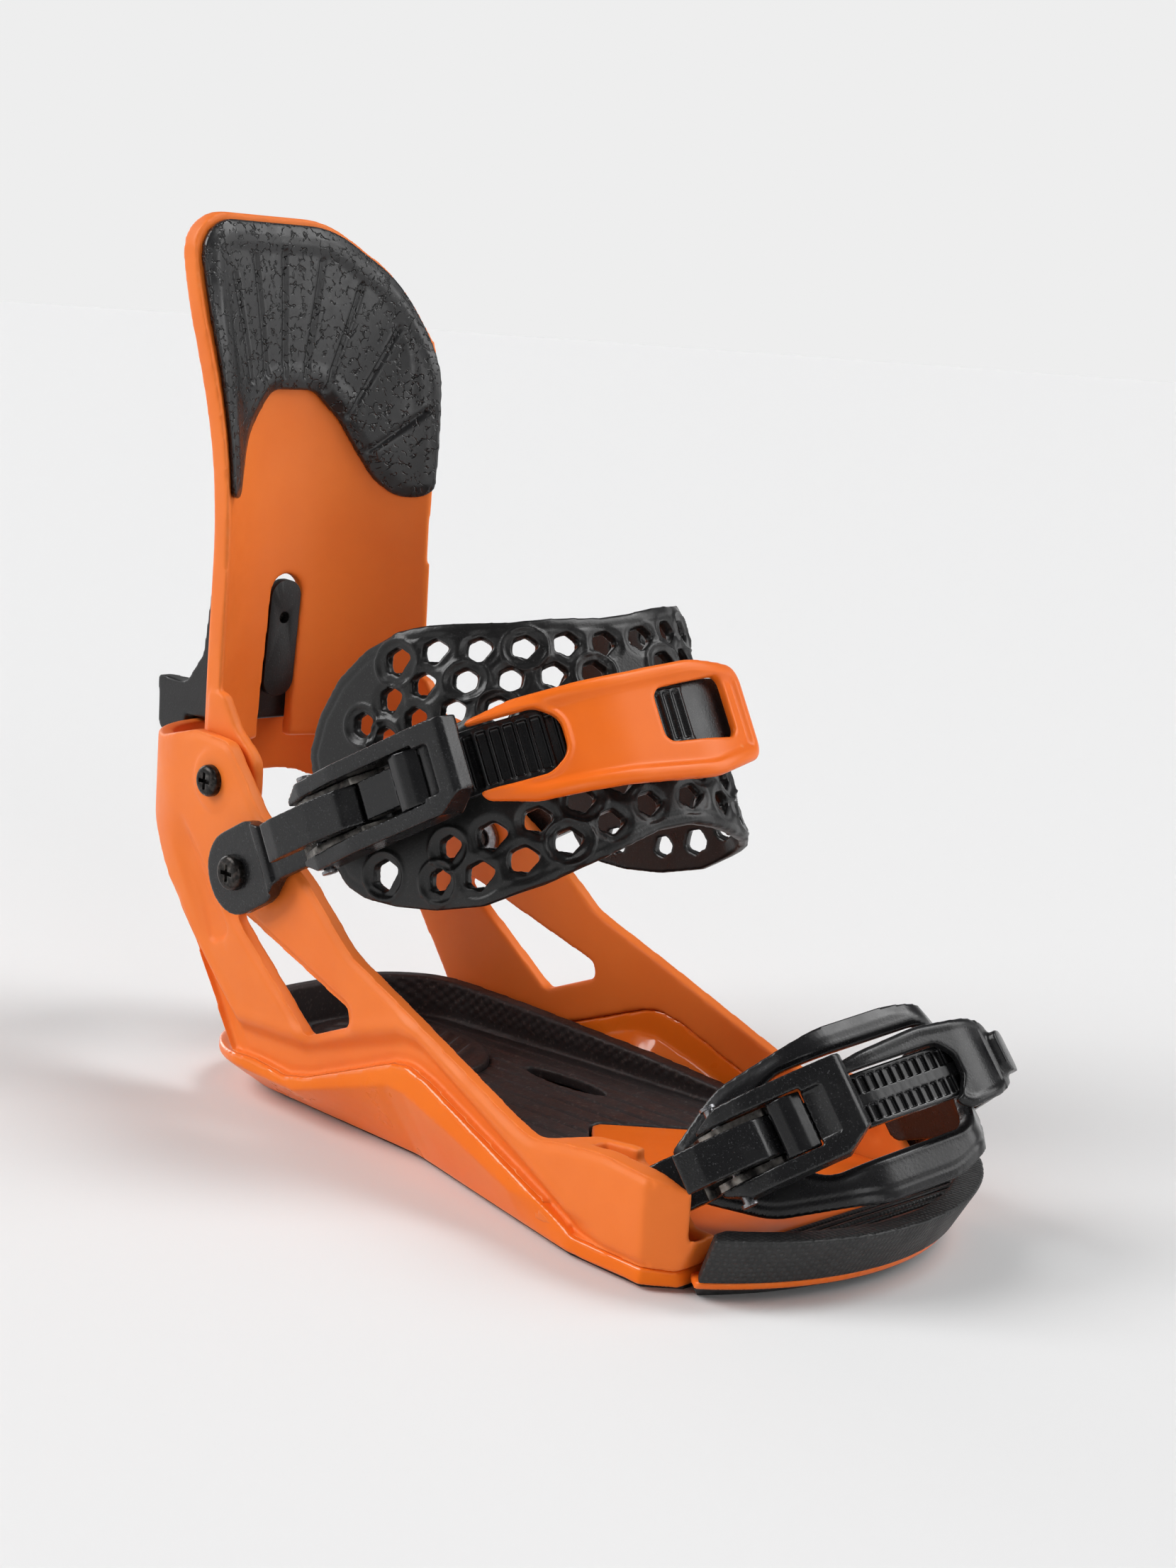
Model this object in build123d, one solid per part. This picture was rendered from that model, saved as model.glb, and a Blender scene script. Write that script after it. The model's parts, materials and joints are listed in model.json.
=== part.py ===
from build123d import *
from math import atan2, cos, degrees, hypot, radians, sin, sqrt
import os

# Snowboard strap binding for a right foot, in millimetres.
# +X points to the toe, +Y to the inner (medial) side, +Z up.
# The origin is the centre of the disc's bolt pattern, on the plane that rests on the board.

# ---- driving dimensions -------------------------------------------------------------------
# base and frame
GASKET_T = 1.5            # rubber sheet under the base
FLOOR_TOP = 6.5           # top of the base floor
HEEL_X = -124.0           # rear end of the base at its rim
HEEL_BOTTOM_X = -117.0    # rear end of the base on the board
BASE_FRONT_X = 100.0      # front edge of the base floor
WALL_REAR_Y = 49.4        # half width of the frame over the hoop corner
WALL_REAR_X = -130.0
WALL_TOE_Y = 61.8         # half width of the frame at the toe pocket
WALL_TOE_X = 92.0
WALL_T = 5.0              # frame wall thickness
HOOP_X = -166.0           # rear face of the heel hoop
HOOP_R = 38.0             # plan radius of the hoop corners
TOE_END_X = 108.0         # front end of the toe pockets
# pivots on the frame: x and z, each pair is on one axis along Y
HIGHBACK_PIVOT = (-110.0, 99.0)
ANKLE_PIVOT = (-88.0, 75.0)
TOE_PIVOT = (84.0, 20.0)
FRAME_SCREWS = [(-84.0, 34.0), (78.0, 38.0)]   # x and half spacing in y
# mounting disc
DISC_R = 37.5
DISC_LIP_R = 41.5
BOLT_SPACING = 40.0       # 4 x 4 hole pattern
BOLT_HOLE_R = 3.25        # for M6 screws
# highback
SHELL_T = 4.0
SLOT_W = 13.0
LEAN_SCREW_Z = 144.0      # the lean block's screw
LEAN_TRAVEL = 8.0
TOE_SLOT_Y = 49.5         # inner side of the toe strap's slot in the pocket
TOE_SLOT_W = 4.6
# straps
ANKLE_TILT = 28.5         # slope of the ankle strap's plane
TOE_TILT = 39.0           # slope of the toe strap's plane
LADDER_W = 24.0
TOE_LADDER_W = 20.0
TOOTH_PITCH = 4.8
# running clearances
GAP = 0.3                 # between pieces that slide or turn past each other
PIN_GAP = 0.05            # radial, round a pin or a pivot screw


# ---- helpers --------------------------------------------------------------------------------
def face(points, radius=None):
    """Closed flat face through the points, with every corner rounded when a radius is given."""
    outline = make_face(Polyline(*points, close=True))
    return fillet(outline.vertices(), radius) if radius else outline


def rounded_face(points, radii):
    """Closed flat face with one corner radius for each point."""
    return make_face(FilletPolyline(*points, radius=radii, close=True))


def across(sketch, half_width):
    """Extrude a sketch drawn in x and z over +-half_width in y."""
    return extrude(Plane.XZ * sketch, half_width, both=True)


def upright(sketch, z0, z1):
    """Extrude a sketch drawn in x and y from z0 to z1."""
    return extrude(Pos(0, 0, z0) * sketch, z1 - z0)


def y_rod(x, z, r, y0, y1):
    """Round rod along Y between y0 and y1."""
    rod = Cylinder(r, abs(y1 - y0))
    return Pos(x, (y0 + y1) / 2, z) * Rot(90, 0, 0) * rod


def both_sides(solid):
    """The solid and its mirror image in the plane y = 0."""
    return [solid, mirror(solid, Plane.XZ)]


def wall_y(x):
    """Half width of the frame's outer face at x."""
    slope = (WALL_TOE_Y - WALL_REAR_Y) / (WALL_TOE_X - WALL_REAR_X)
    return WALL_REAR_Y + slope * (x - WALL_REAR_X)


def save(name, *solids):
    """Write the node's solids to its STEP file."""
    flat = [piece for solid in solids for piece in solid.solids()]
    shape = flat[0] if len(flat) == 1 else Compound(children=flat)
    shape.label = name
    export_step(shape, os.path.join("parts", name + ".step"))
    return solids[0]


# ---- base -----------------------------------------------------------------------------------
def mirrored_outline(half):
    """Closed outline from the points of its -Y half, listed from the toe to the heel."""
    return list(half) + [(x, -y) for x, y in reversed(half)]


def base_outline(foot, inset=0.0):
    """Plan of the base on the board (foot) or at the top of its side wings."""
    if foot:
        half = [(BASE_FRONT_X, -54), (92, -61), (64, -60), (-20, -40), (HEEL_BOTTOM_X, -36)]
        heel_r = 28
    else:
        xs = (-20.0, 64.0, 92.0)
        half = [(BASE_FRONT_X, -56)] + [(x, -wall_y(x) - 0.2) for x in reversed(xs)]
        half.append((HEEL_X, -wall_y(HEEL_X)))
        heel_r = 37
    half = [(x, y + inset) for x, y in half]
    half[-1] = (half[-1][0] + inset, half[-1][1])
    outline = face(mirrored_outline(half))
    return fillet(outline.vertices().sort_by(Axis.X)[:2], heel_r - inset)


def wing_side(top=0.0):
    """Side view of the base: low at the toe, a peak at the waist, a rim round the heel."""
    return face([(-135, 0), (110, 0), (110, FLOOR_TOP + top), (66, FLOOR_TOP + top), (49, 13.5),
                 (1, 32), (-8, 34), (-15, 33), (-56, 17.5), (-67, 15), (-82, 16), (-100, 15),
                 (-135, 15)])


# x, half width on the board and height of the wing's lower bevel edge
UNDERCUT = [(-100, 36.8, 12.0), (-69, 38.0, 9.5), (-55, 38.6, 14.0), (-17, 40.6, 26.0),
            (-9, 42.5, 26.0), (13, 47.8, 20.0), (58, 58.4, 5.0), (66, 60.3, 3.4)]


def undercut(inset):
    """Wedge that hollows the underside of one wing, moved inwards by inset."""
    cuts = []
    for x, foot_y, bevel_z in UNDERCUT:
        rim_y = wall_y(x)
        reach = inset + 3
        slope = (bevel_z - GASKET_T) / max(rim_y - foot_y, 0.5)
        top_z = bevel_z + reach * slope
        outline = face([(-foot_y + inset, GASKET_T - 0.01), (-rim_y - 3, GASKET_T - 0.01),
                        (-rim_y - 3, top_z)])
        cuts.append(Plane.YZ.offset(x) * outline)
    wedge = loft(cuts, ruled=True)
    return wedge + mirror(wedge, Plane.XZ)


def make_baseplate():
    body = loft([Pos(0, 0, GASKET_T) * base_outline(True), Pos(0, 0, 12) * base_outline(False)])
    body += upright(base_outline(False), 12, 40)
    body &= across(wing_side(), 80)
    body -= undercut(0)
    cavity = loft([Pos(0, 0, GASKET_T) * base_outline(True, 4),
                   Pos(0, 0, 12) * base_outline(False, 4.5)])
    cavity += upright(base_outline(False, 4.5), 12, 50)
    cavity -= undercut(4)
    cavity &= Pos(0, 0, FLOOR_TOP + 30) * Box(260, 200, 60)
    cavity += upright(face([(66, -70), (120, -70), (120, 70), (66, 70)]), FLOOR_TOP, 20)
    body -= cavity
    body -= Pos(0, 0, FLOOR_TOP - 1.25) * Cylinder(DISC_LIP_R + GAP, 2.5 + 0.02)
    body -= Pos(0, 0, 3) * Cylinder(DISC_R + GAP, 8)
    for x, y in FRAME_SCREWS:
        for side in (-1, 1):
            body -= Pos(x, side * y, 5) * Cylinder(1.6, 12)
    return body


def make_gasket():
    half = [(BASE_FRONT_X - 2, -50), (90, -58), (63, -57), (-20, -37.5), (HEEL_BOTTOM_X + 2, -33)]
    outline = face(mirrored_outline(half))
    outline = fillet(outline.vertices().sort_by(Axis.X)[:2], 26)
    return upright(outline - Circle(DISC_R + 2), 0, GASKET_T)


def make_disc():
    body = Pos(0, 0, 3.4) * Cylinder(DISC_R, 6.2)
    body += Pos(0, 0, FLOOR_TOP - 1) * Cylinder(DISC_LIP_R, 2)
    body -= Pos(0, 0, FLOOR_TOP) * Cylinder(17, 1.2)
    for tooth in PolarLocations(DISC_LIP_R, 60) * Box(1.4, 1.4, 1.6):
        body -= Pos(0, 0, FLOOR_TOP) * tooth
    for x in (-BOLT_SPACING / 2, BOLT_SPACING / 2):
        for y in (-BOLT_SPACING / 2, BOLT_SPACING / 2):
            body -= Pos(x, y, 3) * Cylinder(BOLT_HOLE_R, 10)
            body -= Pos(x, y, FLOOR_TOP - 1) * Cone(BOLT_HOLE_R, 6.5, 3)
    return body


# ---- frame ----------------------------------------------------------------------------------
def frame_plan(inset):
    """Plan of the frame's wall line, moved inwards by inset."""
    half = [(TOE_END_X, -51 + inset), (WALL_TOE_X, -WALL_TOE_Y + inset),
            (HOOP_X + inset, -wall_y(HOOP_X) + inset)]
    outline = face(mirrored_outline(half))
    return fillet(outline.vertices().sort_by(Axis.X)[:2], HOOP_R - inset)


def frame_side():
    """Side view of the frame: heel arm, hoop, front post, rail and toe pocket."""
    top = [(109, 27), (92, 31.5), (75, 32.5), (60, 31), (47, 28.5), (38, 31), (-11, 50), (-38, 60),
           (-60, 77), (-86, 93), (-104, 112), (-122, 113), (-142, 108), (-160, 107.5), (-172, 107.5)]
    rear = [(-172, 92), (-160, 88), (-143, 75), (-117, 45), (-89, FLOOR_TOP), (101, FLOOR_TOP)]
    top_r = [2, 6, 8, 8, 7, 6, 20, 20, 24, 20, 8, 8, 14, 10, 0.5]
    rear_r = [0.5, 8, 20, 30, 4, 3]
    return rounded_face(top + rear, top_r + rear_r)


def frame_block():
    """Solid envelope of the frame's walls, used to cut the base where the frame sits on it."""
    ring = upright(frame_plan(0) - frame_plan(WALL_T), 0, 130)
    pocket = toe_pocket_blocks()
    return (ring + pocket) & across(frame_side(), 80)


def toe_pocket_blocks():
    """Thick blocks at the toe that hold the toe strap's ends."""
    near = face([(50, -55), (50, -wall_y(50)), (WALL_TOE_X, -WALL_TOE_Y), (TOE_END_X, -51),
                 (TOE_END_X, -46), (62, -46)])
    block = upright(near, 0, 40)
    return block + mirror(block, Plane.XZ)


def window():
    """Triangular opening in each side wall."""
    return rounded_face([(-101, 62), (-57, 30), (-36, 38.5), (-37, 43.5), (-92, 60.5)],
                        [2, 3, 2, 3, 2])


def toe_slots():
    """Slots in the toe pockets, open at the top, for the ends of the toe strap."""
    slot = rounded_face([(66, 11.6), (97, 11.6), (114, 22), (114, 45), (84, 45), (66, 34)],
                        [7, 4, 2, 1, 1, 4])
    near = extrude(Plane.XZ.offset(TOE_SLOT_Y) * slot, TOE_SLOT_W)
    mouth = face([(98, 16.5), (88, 26.5), (78, 29), (78, 60), (118, 60), (118, 16.5)])
    near += extrude(Plane.XZ.offset(43) * mouth, 8)
    return near + mirror(near, Plane.XZ)


def make_chassis(base):
    ring = upright(frame_plan(0) - frame_plan(WALL_T), 0, 130)
    body = (ring - across(wing_side(), 80)) + toe_pocket_blocks()
    body &= across(frame_side(), 80)
    body -= across(window(), 80)
    body += frame_feet()
    body -= toe_slots()
    px, pz = HIGHBACK_PIVOT
    ax, az = ANKLE_PIVOT
    for side in (-1, 1):
        body += y_rod(px, pz, 9.5, side * (wall_y(px) - 3), side * (wall_y(px) + 0.6))
        body += y_rod(ax, az, 12, side * (wall_y(ax) - 3), side * (LINK_Y - GAP))
        body -= y_rod(px, pz, 3 + PIN_GAP, side * 30, side * 70)
        body -= y_rod(ax, az, 3 + PIN_GAP, side * 30, side * 70)
        body -= y_rod(ax, az, 7.4, side * 40, side * (wall_y(ax) - WALL_T))
        body -= y_rod(*TOE_PIVOT, 2.5 + PIN_GAP, side * 46.5, side * 59.5)
    relief = face([(-108, 47), (-118, 62), (-132, 78), (-127, 86), (-110, 68), (-98, 52)], 3)
    for side in both_sides(extrude(Plane.XZ.offset(wall_y(-115) - 0.9) * relief, 6)):
        body -= side
    body -= base
    return body.solids().sort_by(SortBy.VOLUME)[-1]


def frame_feet():
    """Inward flanges that the frame's screws pass through, flat on the base floor."""
    rear_x, rear_y = FRAME_SCREWS[0]
    front_x, front_y = FRAME_SCREWS[1]
    wall_in = wall_y(rear_x) - WALL_T
    foot = upright(face([(rear_x - 9, -wall_in), (rear_x + 9, -wall_in), (rear_x + 9, -rear_y + 7),
                         (rear_x - 9, -rear_y + 7)]), FLOOR_TOP, FLOOR_TOP + 2.5)
    leg = upright(face([(rear_x - 9, -wall_in - 2), (rear_x + 9, -wall_in - 2),
                        (rear_x + 9, -wall_in + 7), (rear_x - 9, -wall_in + 7)]), FLOOR_TOP, 22)
    flange = upright(face([(front_x - 9, -50), (front_x + 9, -50), (front_x + 9, -front_y + 6),
                           (front_x - 9, -front_y + 6)]), FLOOR_TOP, FLOOR_TOP + 2.5)
    near = foot + leg + flange
    for x, y in FRAME_SCREWS:
        near -= Pos(x, -y, FLOOR_TOP) * Cylinder(2.1, 8)
    return near + mirror(near, Plane.XZ)


def make_frame_screws():
    screws = []
    for x, half_y in FRAME_SCREWS:
        for y in (-half_y, half_y):
            screw = Pos(x, y, 5.5) * Cylinder(1.6, 7.8)
            screw += Pos(x, y, FLOOR_TOP + 3.4) * Cylinder(4, 1.8)
            screw -= Pos(x, y, FLOOR_TOP + 4.3) * Box(4.4, 1, 1.2)
            screw -= Pos(x, y, FLOOR_TOP + 4.3) * Box(1, 4.4, 1.2)
            screws.append(screw)
    return screws


# ---- footbed and toe ramp -------------------------------------------------------------------
FOOTBED_Z = 13.0
RAMP_R = 85.0
RAMP_TIP_X = 138.0


def footbed_outline(extra=0.0):
    half = [(84, -49), (60, -52.5), (-60, -46.5), (HEEL_X + 8, -41)]
    grown = [(x, y - extra) for x, y in half]
    outline = face(mirrored_outline(grown))
    return fillet(outline.vertices().sort_by(Axis.X)[:2], 34)


def make_footbed(frame):
    """Footbed with a raised edge, a notch for the ramp's point and two eye-shaped slots."""
    body = upright(footbed_outline(), FLOOR_TOP + 2.6, FOOTBED_Z + 14)
    top = face([(-140, 0), (100, 0), (100, 14), (60, 15), (-5, 21), (-100, 26.5), (-140, 26.5)])
    body &= across(top, 70)
    bowl = face(mirrored_outline([(100, -45), (60, -47), (-60, -41), (HEEL_X + 13, -36)]))
    bowl = fillet(bowl.vertices().sort_by(Axis.X)[:2], 30)
    body -= upright(bowl, FOOTBED_Z, 60)
    notch = face([(13, 0), (58, -46), (100, -52), (100, 52), (58, 46)])
    notch = fillet(notch.vertices().sort_by(Axis.X)[:1], 4)
    body -= upright(notch, 0, 60)
    body -= Pos(-74, 0, FOOTBED_Z - 1.25) * extrude(Ellipse(33, 27), 10)
    for side in (-1, 1):
        body -= upright(Pos(-20, 23 * side) * Ellipse(17, 4.5), 0, 60)
        for x, y in FRAME_SCREWS:
            body -= Pos(x, y * side, FLOOR_TOP + 3) * Cylinder(4.6, 4)
    body -= frame
    return body.solids().sort_by(SortBy.VOLUME)[-1]


def make_heel_pad():
    pad = Pos(-74, 0, FOOTBED_Z - 1.25) * extrude(Ellipse(32.8, 26.8), 3.6)
    return fillet(pad.edges().group_by(Axis.Z)[-1], 1.5)


def ramp_plan(tip_x, half_y, side_x, rear_x):
    """Plan of the ramp: an arc round the toe, closed by a straight rear edge."""
    arc = ThreePointArc((side_x, -half_y), (tip_x, 0), (side_x, half_y))
    rear = Polyline((side_x, half_y), (rear_x, half_y - 4), (rear_x, -half_y + 4), (side_x, -half_y))
    return make_face([arc] + list(rear.edges()))


def make_ramp_core():
    """Plate under the toes: a point that slides in the footbed's notch and a nose in the ramp."""
    tail = face([(14, 0), (59, -45.2), (76, -45.5), (111, -44), (111, 44), (76, 45.5), (59, 45.2)])
    tail = fillet(tail.vertices().sort_by(Axis.X)[:1], 3.6)
    side = face([(10, FLOOR_TOP + 0.2), (114, FLOOR_TOP + 0.2), (114, 15), (104, 14.5),
                 (84, 13.5), (60, 12.8), (10, 12.8)])
    plate = upright(tail, 0, 40) & across(side, 70)
    for y in (-38, 38):
        plate -= Pos(83, y, 8.5) * Box(50, 22, 6)
    nose = loft([Pos(0, 0, 3.4) * ramp_plan(127, 55, 105.5, 101),
                 Pos(0, 0, 6) * ramp_plan(128.5, 55.4, 107, 101)])
    nose += upright(ramp_plan(126.5, 46, 111, 102), 5.5, 12)
    plate += nose
    floor_edge = face([(80, 0), (100.4, 0), (100.4, FLOOR_TOP + 0.2), (80, FLOOR_TOP + 0.2)])
    return plate - across(floor_edge, 70)


def make_ramp(core):
    """Toe ramp: a rounded rim, a shallow bowl and cross ribs inside it."""
    outer = loft([Pos(0, 0, 6) * ramp_plan(129, 55.8, 107.6, 104),
                  Pos(0, 0, 20) * ramp_plan(137.5, 57.5, 114, 110)])
    outer -= upright(ramp_plan(130, 49, 109.5, 90), 13.5, 40)
    inside = upright(ramp_plan(130.2, 49.2, 109.7, 111.5), 0, 40)
    for i in range(5):
        rib = Pos(114 + 3.6 * i, 6, 14.6 + 0.4 * i) * Box(1.6, 76, 3.2 + 0.6 * i)
        outer += rib & inside
    return outer - core


def make_ramp_sole():
    body = loft([Pos(0, 0, 0) * ramp_plan(119, 50, 103, 100.6), Pos(0, 0, 3.4) * ramp_plan(126.5, 54, 105, 100.6)])
    return body


# ---- highback -------------------------------------------------------------------------------
# height, x of the inner face at the middle, x of the side edges, half width
HIGHBACK_SECTIONS = [
    (103.0, -144.5, -117.5, 43.4),
    (125.0, -143.0, -117.5, 43.4),
    (160.0, -140.0, -118.0, 42.6),
    (195.0, -138.5, -119.0, 43.4),
    (222.0, -137.5, -122.5, 46.4),
    (245.0, -137.0, -129.0, 48.0),
    (273.0, -137.5, -132.5, 47.5),
]


def highback_section(z, middle_x, edge_x, half_w):
    """Closed section of the shell at one height, with a lip turned back along each side."""
    front_x = edge_x - 0.6
    rear_x = edge_x - 7
    inner = ThreePointArc((front_x, -half_w + 1.6), (middle_x, 0), (front_x, half_w - 1.6))
    outer = ThreePointArc((rear_x, half_w), (middle_x - SHELL_T, 0), (rear_x, -half_w))
    side_a = Polyline((front_x, half_w - 1.6), (edge_x, half_w), (rear_x, half_w))
    side_b = Polyline((rear_x, -half_w), (edge_x, -half_w), (front_x, -half_w + 1.6))
    section = make_face([inner, outer] + list(side_a.edges()) + list(side_b.edges()))
    return Pos(0, 0, z) * section


def highback_front():
    """Front outline of the shell: the outer corner stands higher than the inner one."""
    points = [(-60, 90), (49.5, 90), (49.5, 232), (38, 256), (8, 272.5), (-60, 272.5)]
    outline = rounded_face(points, [0, 0, 55, 36, 40, 0])
    corner = face([(-70, 252), (-30, 252), (-30, 290), (-70, 290)])
    keep = Pos(-34, 258.5) * Circle(14)
    return outline - (corner - (Pos(-20, 0) * face([(-70, 240), (0, 240), (0, 258.5), (-70, 258.5)])
                                + keep + face([(-34, 240), (0, 240), (0, 272.5), (-34, 272.5)])))


def make_highback():
    body = loft([highback_section(*row) for row in HIGHBACK_SECTIONS])
    body &= extrude(Plane.YZ * Pos(0, 0, 0) * highback_front(), 200, both=True)
    slot = Plane.YZ * (Pos(0, 127) * Rectangle(SLOT_W, 50) + Pos(0, 151.9) * Circle(SLOT_W / 2))
    body -= extrude(slot, 200, both=True)
    px, pz = HIGHBACK_PIVOT
    ear = rounded_face([(px - 12, pz + 26), (px - 5, pz + 26), (px + 2, pz + 16), (px + 13, pz + 8),
                        (px + 13, pz - 12), (px - 11, pz - 12), (px - 13, pz + 6)],
                       [1, 3, 10, 8, 11, 11, 10])
    ear_y = wall_y(px - 13) - WALL_T - GAP
    for side in both_sides(extrude(Plane.XZ.offset(ear_y - 4) * ear, 4)):
        body += side
    body -= y_rod(px, pz, 3 + PIN_GAP, -60, 60)
    return body


def arc_x(y, middle_x, edge_x, half_w):
    """x of the shell's inner face at y, for one of its sections."""
    half_chord = half_w - 1.6
    rise = edge_x - 0.6 - middle_x
    radius = (half_chord ** 2 + rise ** 2) / (2 * rise)
    return middle_x + radius - sqrt(radius ** 2 - y ** 2)


def pad_section(z, middle_x, edge_x, half_w):
    """Section of the highback's pad at one height, lying on the shell's inner face."""
    edge_y = half_w - 4.5
    side_x = arc_x(edge_y, middle_x, edge_x, half_w)
    back = ThreePointArc((side_x + 0.4, -edge_y), (middle_x + 0.4, 0), (side_x + 0.4, edge_y))
    front = ThreePointArc((side_x + 1.6, edge_y), (middle_x + 4.6, 0), (side_x + 1.6, -edge_y))
    sides = [Line((side_x + 0.4, edge_y), (side_x + 1.6, edge_y)),
             Line((side_x + 1.6, -edge_y), (side_x + 0.4, -edge_y))]
    return Pos(0, 0, z) * make_face([back, front] + sides)


def make_highback_pad():
    """Soft pad on the shell's upper inner face, with an arch cut out of its lower side."""
    body = loft([pad_section(*row) for row in HIGHBACK_SECTIONS[2:]])
    outline = offset(highback_front(), -5)
    arch = rounded_face([(-70, 150), (-32, 183), (-27, 205), (-15, 218), (3, 218.5), (14, 210),
                         (27, 190), (39, 184), (70, 188), (70, 150)],
                        [0, 3, 30, 8, 8, 20, 16, 12, 0, 0])
    return body & extrude(Plane.YZ * (outline - arch), 200, both=True)


def make_lean_plate():
    """Flat plate in the highback's slot that the lean block's screw threads into."""
    plate = Box(3, SLOT_W - 3 * GAP, 39)
    plate = fillet(plate.edges().filter_by(Axis.X), 5.6)
    plate -= Pos(0, 0, LEAN_SCREW_Z - 137) * Rot(0, 90, 0) * Cylinder(2, 12)
    return Pos(-143.0, 0, 137) * Rot(0, 4.5, 0) * plate


def make_lean_block():
    """Wedge on the back of the highback that rests on the hoop and sets the forward lean."""
    side = rounded_face([(-149.0, 108.6), (-167.6, 108.6), (-168.4, 98), (-174, 97), (-182, 103),
                         (-183, 120), (-168, 119), (-159, 130), (-156, 151), (-145.6, 152)],
                        [0.5, 1, 1, 2, 3, 1.5, 6, 6, 2, 0.5])
    block = across(side, 19)
    notch = face([(-192, -19), (-168, -8), (-168, 8), (-192, 19)])
    block -= upright(notch, 112, 135)
    low_z = LEAN_SCREW_Z - LEAN_TRAVEL
    for half_w, x0, x1 in ((2.2, -170, -140), (3.9, -170, -151)):
        size_z = LEAN_TRAVEL + 2 * half_w
        block -= Pos((x0 + x1) / 2, 0, (low_z + LEAN_SCREW_Z) / 2) * Box(x1 - x0, 2 * half_w, size_z)
    return block


def make_lean_screw():
    screw = Pos(-147.3, 0, LEAN_SCREW_Z) * Rot(0, 90, 0) * Cylinder(1.8, 7.8)
    head = Pos(-152.2, 0, LEAN_SCREW_Z) * Rot(0, 90, 0) * Cylinder(3.5, 2.2)
    head -= Pos(-153, 0, LEAN_SCREW_Z) * (Box(1.6, 4.4, 1) + Box(1.6, 1, 4.4))
    return screw + head


# ---- pivots on the frame ----------------------------------------------------------------------
def pan_screw(x, z, side, head_y, inner_y, head_r=5.0, shank_r=3.0):
    """Pan-head cross-recessed screw along Y, its head on the outside."""
    shank = y_rod(x, z, shank_r, side * inner_y, side * head_y)
    head = y_rod(x, z, head_r, side * head_y, side * (head_y + 3))
    head = fillet(head.edges().sort_by(Axis.Y)[-1 if side > 0 else 0], 1.8)
    recess_y = side * (head_y + 2.2)
    cross = Pos(x, recess_y, z) * (Box(5.4, 2.2, 1.3) + Box(1.3, 2.2, 5.4))
    return shank + head - cross


def t_nut(x, z, side, outer_y, r=7.0):
    """Flanged nut that takes the screw on the inside of the wall."""
    nut = y_rod(x, z, r, side * outer_y, side * (outer_y - 1.8))
    return nut - y_rod(x, z, 3, side * (outer_y - 4), side * (outer_y + 1))


# ---- straps: shared geometry ------------------------------------------------------------------
def strap_plane(pivot, tilt):
    """Plane of a closed strap: x runs forward up the slope, y across the boot, z is the width."""
    x_dir = (cos(radians(tilt)), 0, sin(radians(tilt)))
    z_dir = (-sin(radians(tilt)), 0, cos(radians(tilt)))
    return Plane(origin=(pivot[0], 0, pivot[1]), x_dir=x_dir, z_dir=z_dir)


ANKLE_PLANE = strap_plane(ANKLE_PIVOT, ANKLE_TILT)
TOE_PLANE = strap_plane(TOE_PIVOT, TOE_TILT)
# corners and corner radii of the straps' middle lines, from the outer side round to the inner
ANKLE_LINE = [(0, -65.4), (98, -50.8), (123, -23), (134, 23), (118, 59.8), (0, 59.8)]
ANKLE_RADII = [45, 60, 40, 30]
TOE_LINE = [(0, -53.2), (15, -53.2), (50, -20), (62, 24), (48, 46.5), (15, 53.2), (0, 53.2)]
TOE_RADII = [14, 40, 18, 20, 20]


def shifted_line(points, radii, shift):
    """The line moved sideways by shift, to the inside of the loop when shift is positive."""
    normals = []
    for (x0, y0), (x1, y1) in zip(points, points[1:]):
        run = hypot(x1 - x0, y1 - y0)
        normals.append((-(y1 - y0) / run, (x1 - x0) / run))
    moved = [(points[0][0] + shift * normals[0][0], points[0][1] + shift * normals[0][1])]
    for (x, y), (ax, ay), (bx, by) in zip(points[1:-1], normals, normals[1:]):
        scale = shift / (1 + ax * bx + ay * by)
        moved.append((x + scale * (ax + bx), y + scale * (ay + by)))
    last = normals[-1]
    moved.append((points[-1][0] + shift * last[0], points[-1][1] + shift * last[1]))
    return moved, [radius - shift for radius in radii]


def ribbon(plane, line, radii, inner, outer, width, centre=0.0):
    """Band that follows the strap line: inner and outer are offsets from it, inwards positive."""
    inner_points, inner_radii = shifted_line(line, radii, inner)
    outer_points, outer_radii = shifted_line(line, radii, outer)
    edges = list(FilletPolyline(*inner_points, radius=inner_radii).edges())
    edges += list(FilletPolyline(*outer_points, radius=outer_radii).edges())
    edges.append(Line(inner_points[0], outer_points[0]))
    edges.append(Line(inner_points[-1], outer_points[-1]))
    band = extrude(make_face(edges), width / 2, both=True)
    return plane * (Pos(0, 0, centre) * band)


def block_in(plane, x0, x1, y0, y1, z0=-60, z1=60):
    """Box in a strap plane's own coordinates."""
    box = Pos((x0 + x1) / 2, (y0 + y1) / 2, (z0 + z1) / 2) * Box(x1 - x0, y1 - y0, z1 - z0)
    return plane * box


def shaped(plane, sketch_plane, sketch, depth=160):
    """Prism of a sketch drawn in one of a strap plane's own coordinate planes."""
    return plane * extrude(sketch_plane * sketch, depth, both=True)


PIN_Z = 6.8       # height of the buckle pins over the buckle's floor
LADDER_RISE = 2.6  # height of the ladder's middle over the buckle's floor


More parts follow.
